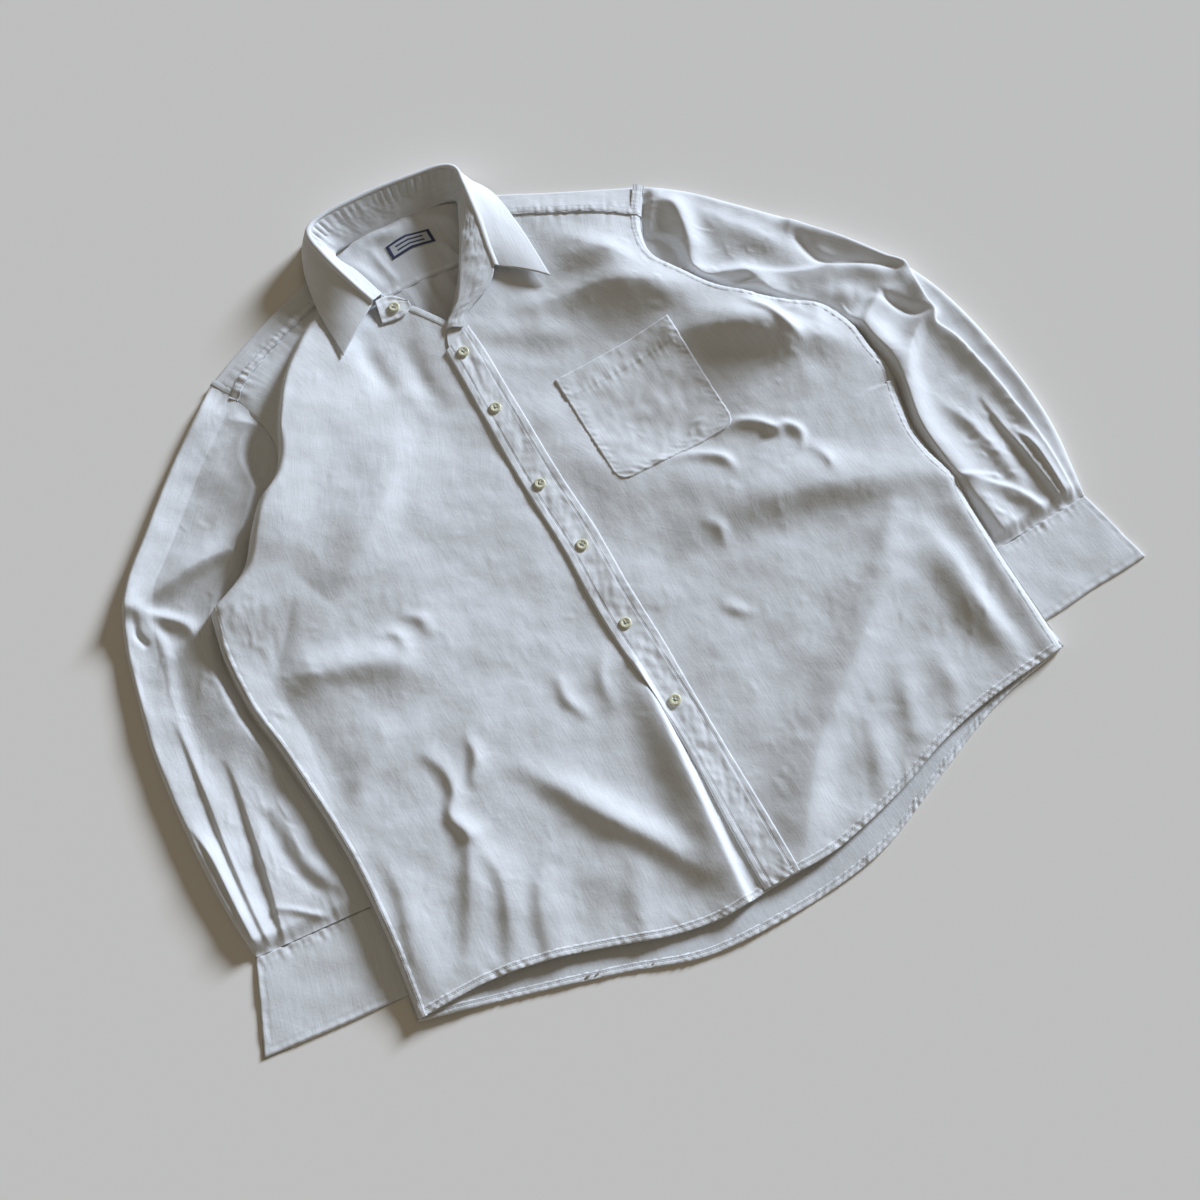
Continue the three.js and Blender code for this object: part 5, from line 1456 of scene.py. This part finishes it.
@dataclass
class Sleeves:
    """The two sleeves and their cuffs."""

    maker: Maker
    form: BodyForm
    crown: float = 5.0
    top_columns: int = 110
    low_columns: int = 12

    def _top(self, cut: SleeveCut, x: np.ndarray, y: np.ndarray, across: np.ndarray) -> np.ndarray:
        """Upper surface of a sleeve, pressed where the body lies over it and at its seams."""
        crown = self.crown * np.sqrt(np.clip(1 - (2 * across - 1) ** 4, 0, 1))
        hidden = nearest(smooth_line(cut.inner, 5), x, y)[0]
        mouth_line = smooth_line(cut.mouth, 5)
        mouth = nearest(mouth_line, x, y)[0]
        seam_line = np.array(cut.seam, float)
        seam = nearest(seam_line, x, y)[0]
        outer = nearest(smooth_line(cut.outer, 5), x, y)[0]
        if cut.side is Side.RIGHT:
            tilt = 0.02 + 0.1 * smoothstep(y, -60, 60) + 0.04 * smoothstep(y, 200, 260)
            crown = self.crown - 0.12 * np.clip(outer - 5, 0, 24) + tilt * np.clip(outer - 29, 0, 80)
        start = 7 + cut.ease * smoothstep(y, 318, 350)
        uncovered = UNDERLAP - 2
        clear = smoothstep(hidden, uncovered, uncovered + cut.beside) * smoothstep(mouth / start, 0, 1)
        clear = clear * smoothstep(seam, 0.5, 14) * edge_roll(outer, cut.roll)
        drawn = 1.3 * pucker(mouth_line, x, y, 6.5, 16) + 1.4 * pucker(seam_line, x, y, 8.0, 20)
        shoulder = 3.0 * smoothstep(y, 325, 352) * edge_roll(outer, 8)
        worn = (1.2 * fine_crumple(x, y) + drawn) * smoothstep(outer, 1, 9) * smoothstep(hidden, 6, 30)
        return SLEEVE_DEPTH + (crown + fold_lift(cut.folds, x, y)) * clear + (shoulder + worn)

    def sleeve(self, cut: SleeveCut, finish: bpy.types.Material) -> bpy.types.Object:
        """A flattened tube of cloth from the armhole to the cuff seam.

        Args:
            cut: The sleeve's lines.
            finish: Its material.

        Returns:
            The piece.
        """
        n = self.top_columns
        top_shares = np.linspace(0.003, 0.997, n)
        low_shares = np.linspace(0.99, 0.01, self.low_columns)
        around = np.concatenate([top_shares, [1.0], low_shares, [0.0], top_shares[:1]])
        order = np.argsort(around, kind="stable")
        along = shares(360)
        seam = np.array(cut.seam, float)
        plan = np.empty((len(along), len(around), 2))
        plan[:, order] = plan_grid(
            smooth_line(cut.outer), smooth_line(cut.inner), smooth_line(cut.mouth), seam,
            around[order], along)
        x, y = plan[..., 0], plan[..., 1]
        top = self._top(cut, x, y, np.broadcast_to(around[None], x.shape))
        z = np.where(np.arange(len(around))[None] < n, np.maximum(top, 0.6), 0.15)
        z[:, n] = 0.5 * top[:, n - 1]
        z[:, -2] = 0.5 * top[:, 0]
        z[:, -1] = z[:, 0]
        name = f"sleeve_{cut.side.value}_tube"
        piece = self.maker.cloth(name, at_height(plan, z), finish, 0, closed=True)
        return self.maker.keep(piece, "cloth", f"sleeve_{cut.side.value}")

    def cuff(self, side: Side, corners: Rows, finish: bpy.types.Material, under: bool) -> bpy.types.Object:
        """One layer of a cuff, lying flat.

        Args:
            side: Which side of the wearer.
            corners: Seam outer, seam inner, free edge outer and free edge inner corner.
            finish: Its material.
            under: Whether it is the lower layer.

        Returns:
            The piece.
        """
        a, b, c, d = (np.array(corner, float) for corner in corners)
        across = np.concatenate([[-0.006, -0.004], np.linspace(0, 1, 76), [1.004, 1.006]])
        along = np.concatenate([[-0.004], np.linspace(0, 1, 48), [1.006, 1.009]])
        u = across[None, :, None]
        v = along[:, None, None]
        plan = (1 - v) * ((1 - u) * a + u * b) + v * ((1 - u) * c + u * d)
        bend = 1.6 * crumple.soft(plan[..., 0] / 60 + 9, plan[..., 1] / 60)
        plan[..., 1] += bend * np.clip(along, 0, 1)[:, None]
        x, y = plan[..., 0], plan[..., 1]
        down = along[:, None] * CUFF_HEIGHT + 0 * x
        beside = np.minimum(across, 1 - across)[None] * CUFF_WIDTH
        edge = np.minimum(beside, np.minimum(along, 1 - along)[:, None] * CUFF_HEIGHT)
        pinch = 0.45 * crumple.soft(x / 6 + 3, y / 8) * np.exp(-((np.maximum(edge, 0) - 2.5) / 4) ** 2)
        drawn = 1.1 * crumple.soft(x / 5.5 + 1, down / 40 + 3) * np.exp(-(((down - 5) / 6) ** 2))
        channel = -0.35 * np.exp(-((edge - 5) / 1.1) ** 2)
        soft = 0.6 * crumple.soft(x / 34, y / 30 + 5) + 0.6 * fine_crumple(x, y)
        base = 0.4 if under else 2.7
        skirt = np.where(edge < -0.3, -0.5 if under else -1.5, 0)
        z = np.maximum(base + pinch + drawn + channel + (0.25 if under else 1.0) * soft + skirt, 0.85)
        layer = "under" if under else "upper"
        piece = self.maker.cloth(f"cuff_{side.value}_{layer}", at_height(plan, z), finish, 0.8)
        return self.maker.keep(piece, "cloth", f"cuff_{side.value}")


# Foot and roll of the collar stand, from the right end round to the left end turned outward.
STAND_ROWS = [
    (-35, 392, 16, -46, 383, 26), (-45, 428, 16, -57, 410, 33), (-54, 454, 10, -67, 448, 35),
    (-53, 466, 5, -70, 479, 34), (-40, 470, 2.6, -57, 493, 29), (-5, 472, 2.4, -8, 500, 26),
    (40, 472, 2.4, 45, 498, 26), (75, 469, 3.5, 86, 491, 28), (84, 462, 9, 95, 479, 32),
    (82, 449, 18, 93, 460, 34), (75, 432, 25, 90, 440, 34), (66, 412, 27, 86, 412, 31),
    (55, 391, 26, 81, 386, 27.5), (42, 368, 24, 78, 362, 22.5), (28, 346, 20.5, 64, 347, 18.5),
    (17, 336, 18, 44, 338, 17), (9, 330, 16.5, 30, 330, 16), (5, 324, 15.5, 20, 318, 15),
]

# How many of those rows the fall is sewn along, and its free edge round the neck.
LEAF_ROWS = 14
LEAF_EDGE = [
    (-100, 342, 22), (-99, 400, 18), (-93, 444, 10), (-86, 470, 5), (-70, 496, 3), (-10, 506, 2.4),
    (50, 504, 2.4), (98, 495, 3), (112, 474, 6), (121, 450, 11), (125, 400, 15), (124, 327, 18),
]


def _even(rows: Rows, count: int) -> np.ndarray:
    """A smooth line through rows, with the same number of steps between each two."""
    line = smooth_line(rows, 16)
    steps = np.linspace(0, 1, len(line))
    wanted = np.linspace(0, 1, count)
    return np.stack([np.interp(wanted, steps, line[:, k]) for k in range(3)], -1)


def _even_steps(line: np.ndarray, count: int) -> np.ndarray:
    """Indices of a number of points at even lengths along a finely stepped line."""
    run = space_run(line)
    return np.searchsorted(run, np.linspace(0, run[-1], count)).clip(0, len(line) - 1)


def _outward(foot: np.ndarray, roll: np.ndarray) -> np.ndarray:
    """Unit steps in plan from the stand's foot to its roll."""
    out = (roll - foot) * np.array([1.0, 1.0, 0.0])
    return out / np.linalg.norm(out, axis=1)[:, None]


@dataclass
class Collar:
    """The collar stand with its buttoned end, and the fall turned over it."""

    maker: Maker
    form: BodyForm
    wall: float = 1.2
    stand_rows: int = 620
    fall_rows: int = 260
    fine_rows: int = 4000

    def stand(self, finish: bpy.types.Material) -> bpy.types.Object:
        """The stand, puckered below its roll, its left end turned out as a lapel."""
        foot = _even([row[:3] for row in STAND_ROWS], self.fine_rows)
        roll = _even([row[3:] for row in STAND_ROWS], self.fine_rows)
        picked = _even_steps(roll, self.stand_rows)
        foot, roll = foot[picked], roll[picked]
        out = _outward(foot, roll)
        share = np.concatenate([[-0.2, -0.08], np.linspace(0, 1, 26)])[None]
        up = np.clip(share, 0, 1)[..., None]
        under = np.clip(-share, 0, 1)[..., None]
        depth = np.clip(foot[:, 2] - 4.0, 0.4, 9.0)[:, None]
        points = foot[:, None] * (1 - up) + roll[:, None] * up + out[:, None] * under * 30
        points[..., 2] -= depth * under[..., 0] * 5
        run = space_run(roll)[:, None]
        share = up[..., 0]
        flutes = np.sin(run * 2 * math.pi / 8.6 + 2.2 * crumple.soft(run / 24, 0 * run + 0.4))
        strength = 0.7 + 0.9 * crumple.soft(run / 19 + 3, 0 * run + 1.7)
        near_roll = smoothstep(share, 0.35, 0.86) * (1 - 0.75 * smoothstep(share, 0.9, 1.0))
        at_back = smoothstep(run, 60, 110) * (1 - 0.75 * smoothstep(run, 265, 320))
        wave = 1.5 * crumple.soft(run / 15 + 4, share * 1.6) * np.sin(np.pi * share)
        grain = 0.5 * crumple.soft(run / 6 + share * 4, share * 6) * np.sin(np.pi * share)
        shift = 1.25 * flutes * strength * near_roll * at_back + wave + grain
        laid = smoothstep(run, 300, 350)
        points[..., :2] += out[:, None, :2] * (shift * (1 - laid))[..., None]
        points[..., 2] += (0.9 * wave + grain + 1.6 * np.sin(np.pi * share)) * laid
        piece = self.maker.cloth("collar_stand_band", points, finish, self.wall)
        return self.maker.keep(piece, "cloth", "collar_stand")

    def fall(self, finish: bpy.types.Material) -> bpy.types.Object:
        """The fall: over the roll and down to its free edge, its two points lying on the fronts."""
        foot = _even([row[:3] for row in STAND_ROWS[:LEAF_ROWS]], self.fall_rows)
        roll = _even([row[3:] for row in STAND_ROWS[:LEAF_ROWS]], self.fall_rows)
        free = _even(LEAF_EDGE, self.fall_rows)
        out = _outward(foot, roll)
        lift = np.array([0, 0, 1.0])
        turn = [roll - out * 0.3 + lift * 0.2, roll + out * 0.7 + lift * 1.3, roll + out * 2.2 + lift * 1.5,
                roll + out * 3.6 + lift * 0.4, roll + out * 4.4 - lift * 1.6]
        start = turn[-1]
        leaf = []
        for s in np.linspace(0, 1, 30)[1:]:
            bowed = start + (free - start) * s + (out * 2.2 + lift * 1.2) * math.sin(math.pi * s)
            uneven = 0.5 * crumple.soft(bowed[:, 1] / 26, bowed[:, 0] / 26 + s) * math.sin(math.pi * s)
            leaf.append(bowed + lift * uneven[:, None])
        points = np.stack([*turn, *leaf], 1)
        piece = self.maker.cloth("collar_fall_leaf", points, finish, self.wall)
        return self.maker.keep(piece, "cloth", "collar_fall")

    def tab(self, finish: bpy.types.Material) -> bpy.types.Object:
        """The stand's buttoned end, lying open on the right front."""
        along = shares(30)
        upper = walk(smooth_line([(row[0], row[1], row[4]) for row in TAB_ROWS]), along)[:, None]
        lower = walk(smooth_line([(row[2], row[3], 0.0) for row in TAB_ROWS]), along)[:, None]
        share = np.linspace(0, 1, 24)[None, :, None]
        plan = lower + (upper - lower) * share
        x, y = plan[..., 0], plan[..., 1]
        edge = np.minimum(share[..., 0], 1 - share[..., 0]) * TAB_HEIGHT
        welt = 0.5 * edge_roll(edge, 2) - 0.5 * np.exp(-((edge - 4.5) / 1.2) ** 2)
        z = self.form.top(x, y) + 1.6 + plan[..., 2] + welt + 0.6 * crumple.soft(x / 7, y / 7)
        piece = self.maker.cloth("collar_stand_end", at_height(plan[..., :2], z), finish, self.wall)
        return self.maker.keep(piece, "cloth", "collar_stand")


@dataclass
class Fastenings:
    """Buttons, their thread and the woven label."""

    maker: Maker
    radius: float = 0.0057
    thickness: float = 0.0026
    hole: float = 0.0008
    hole_ring: float = 0.0014
    sink: float = 0.0003
    thread_radius: float = 0.00022
    thread_apart: float = 0.00025
    thread_height: float = 0.0025
    label_middle: float = 20.5
    label_half: float = 24.5
    label_foot: float = 431.5
    label_height: float = 17.0

    def _blank(self) -> bpy.types.Mesh:
        """One button at the origin, dished, with four holes."""
        r, t = self.radius, self.thickness
        profile = [
            (0.0, 0.0), (r - 0.0009, 0.0), (r - 0.0003, 0.0003), (r, 0.0009), (r, 0.0016),
            (r - 0.0003, 0.0022), (r - 0.0008, t), (r - 0.0014, t), (r - 0.0018, 0.0025),
            (r - 0.0022, 0.0024), (0.0, 0.0024),
        ]
        bm = bmesh.new()
        ring = [bm.verts.new((x, 0, z)) for x, z in profile]
        for low, high in zip(ring, ring[1:]):
            bm.edges.new((low, high))
        bmesh.ops.spin(bm, geom=bm.verts[:] + bm.edges[:], axis=(0, 0, 1), cent=(0, 0, 0), angle=2 * math.pi,
                       steps=40, use_merge=True)
        bmesh.ops.remove_doubles(bm, verts=bm.verts, dist=1e-6)
        bmesh.ops.recalc_face_normals(bm, faces=bm.faces)
        body = self.maker.mesh_piece("button_blank", bm, ButtonFinish().material())
        bm = bmesh.new()
        for k in range(4):
            turn = math.pi / 4 + k * math.pi / 2
            made = bmesh.ops.create_cone(
                bm, cap_ends=True, segments=14, radius1=self.hole, radius2=self.hole, depth=0.01)
            shift = (self.hole_ring * math.cos(turn), self.hole_ring * math.sin(turn), 0)
            bmesh.ops.translate(bm, vec=shift, verts=made["verts"])
        cutter = self.maker.mesh_piece("button_cutter", bm, body.data.materials[0])
        cut = body.modifiers.new("holes", "BOOLEAN")
        cut.object = cutter
        cut.solver = "EXACT"
        bpy.context.view_layer.update()
        done = bpy.data.meshes.new_from_object(body.evaluated_get(bpy.context.evaluated_depsgraph_get()))
        bpy.data.objects.remove(body)
        bpy.data.objects.remove(cutter)
        return done

    def _seat(self, node: str, under: Sequence[bpy.types.Object]) -> Vector:
        """Where a button rests: over its node's middle, on the cloth beneath it.

        Args:
            node: The CAD node's name.
            under: The cloth pieces that it may rest on.

        Returns:
            The middle of its underside.
        """
        low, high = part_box(node)
        middle = Vector(((low.x + high.x) / 2, (low.y + high.y) / 2, low.z))
        tops = [
            vertex.co.z for piece in under for vertex in piece.data.vertices
            if math.hypot(vertex.co.x - middle.x, vertex.co.y - middle.y) < self.radius * 0.8
        ]
        if tops:
            middle.z = max(tops) - self.sink
        log.info("%s: %.1f mm from its CAD height", node, (middle.z - low.z) * MM)
        return middle

    def _thread(self, thread: bmesh.types.BMesh, middle: Vector, turn: float) -> None:
        """Adds the crossed thread of one button.

        Args:
            thread: The mesh that holds all of them.
            middle: Middle of the button's underside.
            turn: How the button is turned, in radians.
        """
        for cross in range(2):
            lie = _about_z(turn + math.pi / 4 + cross * math.pi / 2)
            lift = middle + Vector((0, 0, self.thread_height + 0.0001 * cross))
            for side in (-self.thread_apart, self.thread_apart):
                made = bmesh.ops.create_cone(
                    thread, cap_ends=True, segments=8, radius1=self.thread_radius,
                    radius2=self.thread_radius, depth=2 * self.hole_ring + 0.0006)
                verts = made["verts"]
                bmesh.ops.rotate(thread, cent=(0, 0, 0), matrix=_lying(), verts=verts)
                bmesh.ops.translate(thread, vec=(0, side, 0), verts=verts)
                bmesh.ops.rotate(thread, cent=(0, 0, 0), matrix=lie, verts=verts)
                bmesh.ops.translate(thread, vec=lift, verts=verts)

    def buttons(self, nodes: Sequence[str], under: Sequence[bpy.types.Object]) -> None:
        """Sets a button in the place of each node, with its crossed thread.

        Args:
            nodes: The CAD nodes' names.
            under: The cloth pieces that they rest on.
        """
        blank = self._blank()
        thread = bmesh.new()
        for k, node in enumerate(nodes):
            middle = self._seat(node, under)
            turn = 0.3 + 1.1 * k
            bm = bmesh.new()
            bm.from_mesh(blank)
            bmesh.ops.rotate(bm, cent=(0, 0, 0), matrix=_about_z(turn), verts=bm.verts)
            bmesh.ops.translate(bm, vec=middle, verts=bm.verts)
            piece = self.maker.mesh_piece(f"{node}_resin", bm, blank.materials[0])
            self.maker.keep(piece, "button", node)
            self._thread(thread, middle, turn)
        piece = self.maker.mesh_piece("button_thread", thread, ThreadFinish().material())
        self.maker.keep(piece, "button")

    def label(self, form: BodyForm) -> bpy.types.Object:
        """The woven label, sewn flat inside the yoke, its middle a little raised."""
        across = np.linspace(-1, 1, 41)
        along = np.linspace(0, 1, 17)
        x = self.label_middle + self.label_half * across[None] + 0 * along[:, None]
        low = self.label_foot + 3.5 * (1 - np.abs(across)) - 0.5 * across
        y = low[None] + self.label_height * along[:, None]
        z = form.yoke_top(x, y) + 0.7 + 0.4 * (1 - np.abs(across))[None]
        points = np.stack([x, y, z + 0 * x], -1)
        piece = self.maker.cloth("label_weave", points, LabelFinish().material(), 0.4)
        return self.maker.keep(piece, "label", "label")


def _about_z(turn: float) -> Matrix:
    """Rotation about the vertical by an angle in radians."""
    return Matrix.Rotation(turn, 3, "Z")


def _lying() -> Matrix:
    """Rotation that lays an upright rod along X."""
    return Matrix.Rotation(math.pi / 2, 3, "Y")


@dataclass
class Studio:
    """Camera, floor and lights."""

    layout: Layout
    distance: float = 1.5054
    elevation: float = 68.0
    azimuth: float = 29.0
    key_height: float = 20.0
    key_turn: float = 20.0
    key_strength: float = 4.97
    key_spread: float = 15.0
    key_colour: Colour = (0.74, 0.843, 1.0)
    sky: float = 0.17
    sky_colour: Colour = (1.0, 0.885, 0.69, 1.0)
    lens: float = 48.0
    sensor: float = 36.0
    floor_reach: float = 6.0

    def camera(self) -> None:
        """Sets the camera over the shirt's lower right, looking down and away."""
        target = Vector((-self.layout.centre_x / MM, -self.layout.centre_y / MM, 0))
        up = math.radians(self.elevation)
        turn = math.radians(self.azimuth)
        flat = self.distance * math.cos(up)
        height = self.distance * math.sin(up)
        place = target + Vector((-flat * math.sin(turn), -flat * math.cos(turn), height))
        data = bpy.data.cameras.new("camera")
        data.lens = self.lens
        data.sensor_width = self.sensor
        camera = bpy.data.objects.new("camera", data)
        camera.location = place
        camera.rotation_euler = (target - place).to_track_quat("-Z", "Y").to_euler()
        bpy.context.scene.collection.objects.link(camera)
        bpy.context.scene.camera = camera

    def floor(self) -> None:
        """Lays the pale paper that the shirt lies on."""
        bm = bmesh.new()
        bmesh.ops.create_grid(bm, x_segments=1, y_segments=1, size=self.floor_reach)
        mesh = bpy.data.meshes.new("floor")
        bm.to_mesh(mesh)
        bm.free()
        mesh.materials.append(FloorFinish().material())
        floor = bpy.data.objects.new("floor", mesh)
        bpy.context.scene.collection.objects.link(floor)

    def lights(self) -> None:
        """Sets a low cool window light and a soft warm room."""
        low = math.radians(self.key_height)
        turn = math.radians(self.key_turn)
        toward = Vector((math.cos(low) * math.cos(turn), math.cos(low) * math.sin(turn), math.sin(low)))
        data = bpy.data.lights.new("window", "SUN")
        data.energy = self.key_strength
        data.angle = math.radians(self.key_spread)
        data.color = self.key_colour
        light = bpy.data.objects.new("window", data)
        light.rotation_euler = toward.to_track_quat("Z", "Y").to_euler()
        bpy.context.scene.collection.objects.link(light)
        world = bpy.data.worlds.new("room")
        world.use_nodes = True
        back = world.node_tree.nodes["Background"]
        back.inputs[0].default_value = self.sky_colour
        back.inputs[1].default_value = self.sky
        bpy.context.scene.world = world
        bpy.context.scene.view_settings.view_transform = "Standard"


@dataclass(frozen=True)
class Cloths:
    """The shirt's cloth materials."""

    outside: bpy.types.Material
    inside: bpy.types.Material
    doubled: bpy.types.Material
    hem: bpy.types.Material
    felled: bpy.types.Material
    placket: bpy.types.Material


def weave_cloths() -> Cloths:
    """Makes the cloth's materials."""
    return Cloths(
        outside=Poplin("poplin").material(),
        inside=Poplin("poplin_inside", Tone.INSIDE).material(),
        doubled=Poplin("poplin_doubled", Tone.DOUBLED, wrinkle=0.8).material(),
        hem=Poplin("poplin_hem", Tone.DOUBLED, stitches=(0.0022,)).material(),
        felled=Poplin("poplin_felled", Tone.DOUBLED, stitches=(-0.0029, 0.0029)).material(),
        placket=Poplin("poplin_placket", Tone.DOUBLED, stitches=(-0.0115, 0.0115)).material(),
    )


def build_body(maker: Maker, form: BodyForm, cloths: Cloths) -> None:
    """Builds the back, the fronts and the yoke with their hems and seams."""
    body = Body(maker, form, cloths.outside, cloths.inside)
    trim = Trim(maker, form)
    back = body.back()
    right = body.front_right()
    left = body.front_left()
    yoke = body.yoke_inside()
    shoulder_right = body.yoke_shoulder(Side.RIGHT)
    shoulder_left = body.yoke_shoulder(Side.LEFT)
    hem_back = trim.band(
        Band("hem_back", HEM_BACK, 6.5, 0.6, 0.7, 4.0, skew=-1.2, wrap=True), form.back_worn, cloths.hem)
    hem_right = trim.band(
        Band("hem_right", HEM_RIGHT, 7.0, 0.55, 0.75, 4.0, skew=-1.2, wrap=True), form.top, cloths.hem)
    hem_left = trim.band(
        Band("hem_left", HEM_LEFT, 7.0, 0.55, 0.75, 4.0, skew=-1.2, wrap=True), form.left_top, cloths.hem)
    yoke_right = trim.band(
        Band("yoke_seam_right", YOKE_SEAM_RIGHT, 7.0, 0.3, 0.8, 5.2),
        Lifted(form.top, 1.7), cloths.felled)
    yoke_left = trim.band(
        Band("yoke_seam_left", YOKE_SEAM_LEFT, 7.0, 0.3, 0.8, 5.2),
        Lifted(form.left_top, 1.7), cloths.felled)
    armhole_right = trim.band(
        Band("armhole_right_seam", ARMHOLE_RIGHT[:7:-1], 7.0, 0.35, 0.4, 4.2),
        Lifted(form.top, 0.4), cloths.felled)
    armhole_left = trim.band(
        Band("armhole_left_seam", ARMHOLE_LEFT, 10.0, 0.3, 0.8, 5.0),
        Lifted(form.left_top, 0.15), cloths.felled)
    side_right = trim.band(
        Band("side_right_seam", SIDE_RIGHT[::-1], 8.5, 0.25, 0.4, 4.5),
        Lifted(form.top, 0.2), cloths.felled)
    side_left = trim.band(
        Band("side_left_seam", SIDE_LEFT, 9.0, 0.25, 0.4, 4.5),
        Lifted(form.left_top, 0.2), cloths.felled)
    inner_seam = trim.band(
        Band("yoke_seam_inside", YOKE_SEAM_INSIDE, 7.0, 0.5, 0.5, 4.6),
        Lifted(form.yoke_top, 0.2), cloths.felled)
    facing = trim.band(
        Band("opening_facing", FACING_EDGE, 7.0, 0.5, 0.4, 4.0),
        Lifted(form.top, 0.2), cloths.felled)
    placket = trim.placket(cloths.placket)
    pocket = trim.pocket(cloths.doubled)


def build_sleeves(maker: Maker, form: BodyForm, cloths: Cloths) -> None:
    """Builds both sleeves and the two layers of each cuff."""
    sleeves = Sleeves(maker, form)
    corners = {
        Side.RIGHT: ((-421, -148), (-294, -158), (-449, -228), (-300, -241)),
        Side.LEFT: ((461, -132), (330, -140), (474, -212), (330, -221)),
    }
    cuts = (
        SleeveCut(Side.RIGHT, SLEEVE_OUTER_RIGHT, SLEEVE_INNER_RIGHT, ARMHOLE_RIGHT[:5:-1],
                  corners[Side.RIGHT][:2], SLEEVE_RIGHT_FOLDS, ease=20.0, beside=15.0, roll=5.0),
        SleeveCut(Side.LEFT, SLEEVE_OUTER_LEFT, SLEEVE_INNER_LEFT, ARMHOLE_LEFT[:11:-1],
                  corners[Side.LEFT][:2], SLEEVE_LEFT_FOLDS, ease=5.0, beside=9.0, roll=8.0),
    )
    for cut in cuts:
        tube = sleeves.sleeve(cut, cloths.outside)
        for under in (True, False):
            layer = sleeves.cuff(cut.side, corners[cut.side], cloths.doubled, under)


def build_collar(maker: Maker, form: BodyForm, cloths: Cloths) -> bpy.types.Object:
    """Builds the collar and gives back its buttoned end."""
    collar = Collar(maker, form)
    stand = collar.stand(cloths.inside)
    fall = collar.fall(cloths.doubled)
    tab = collar.tab(cloths.doubled)
    return tab


def main() -> None:
    """Builds the shirt piece by piece, then the studio."""
    logging.basicConfig(level=logging.INFO, format="%(name)s: %(message)s")
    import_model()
    low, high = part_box("label")
    middle = ((low.x + high.x) * MM / 2, (low.y + high.y) * MM / 2)
    layout = Layout(LABEL_MIDDLE[0] - middle[0], LABEL_MIDDLE[1] - middle[1])
    studio = Studio(layout)
    studio.camera()
    maker = Maker(layout)
    form = BodyForm()
    cloths = weave_cloths()
    build_body(maker, form, cloths)
    build_sleeves(maker, form, cloths)
    tab = build_collar(maker, form, cloths)
    fastenings = Fastenings(maker)
    under = (bpy.data.objects["placket_band"], tab)
    fastenings.buttons([f"button_{k + 1}" for k in range(BUTTON_COUNT)] + ["button_collar"], under)
    label = fastenings.label(form)
    studio.floor()
    studio.lights()


if __name__ == "__main__":
    main()
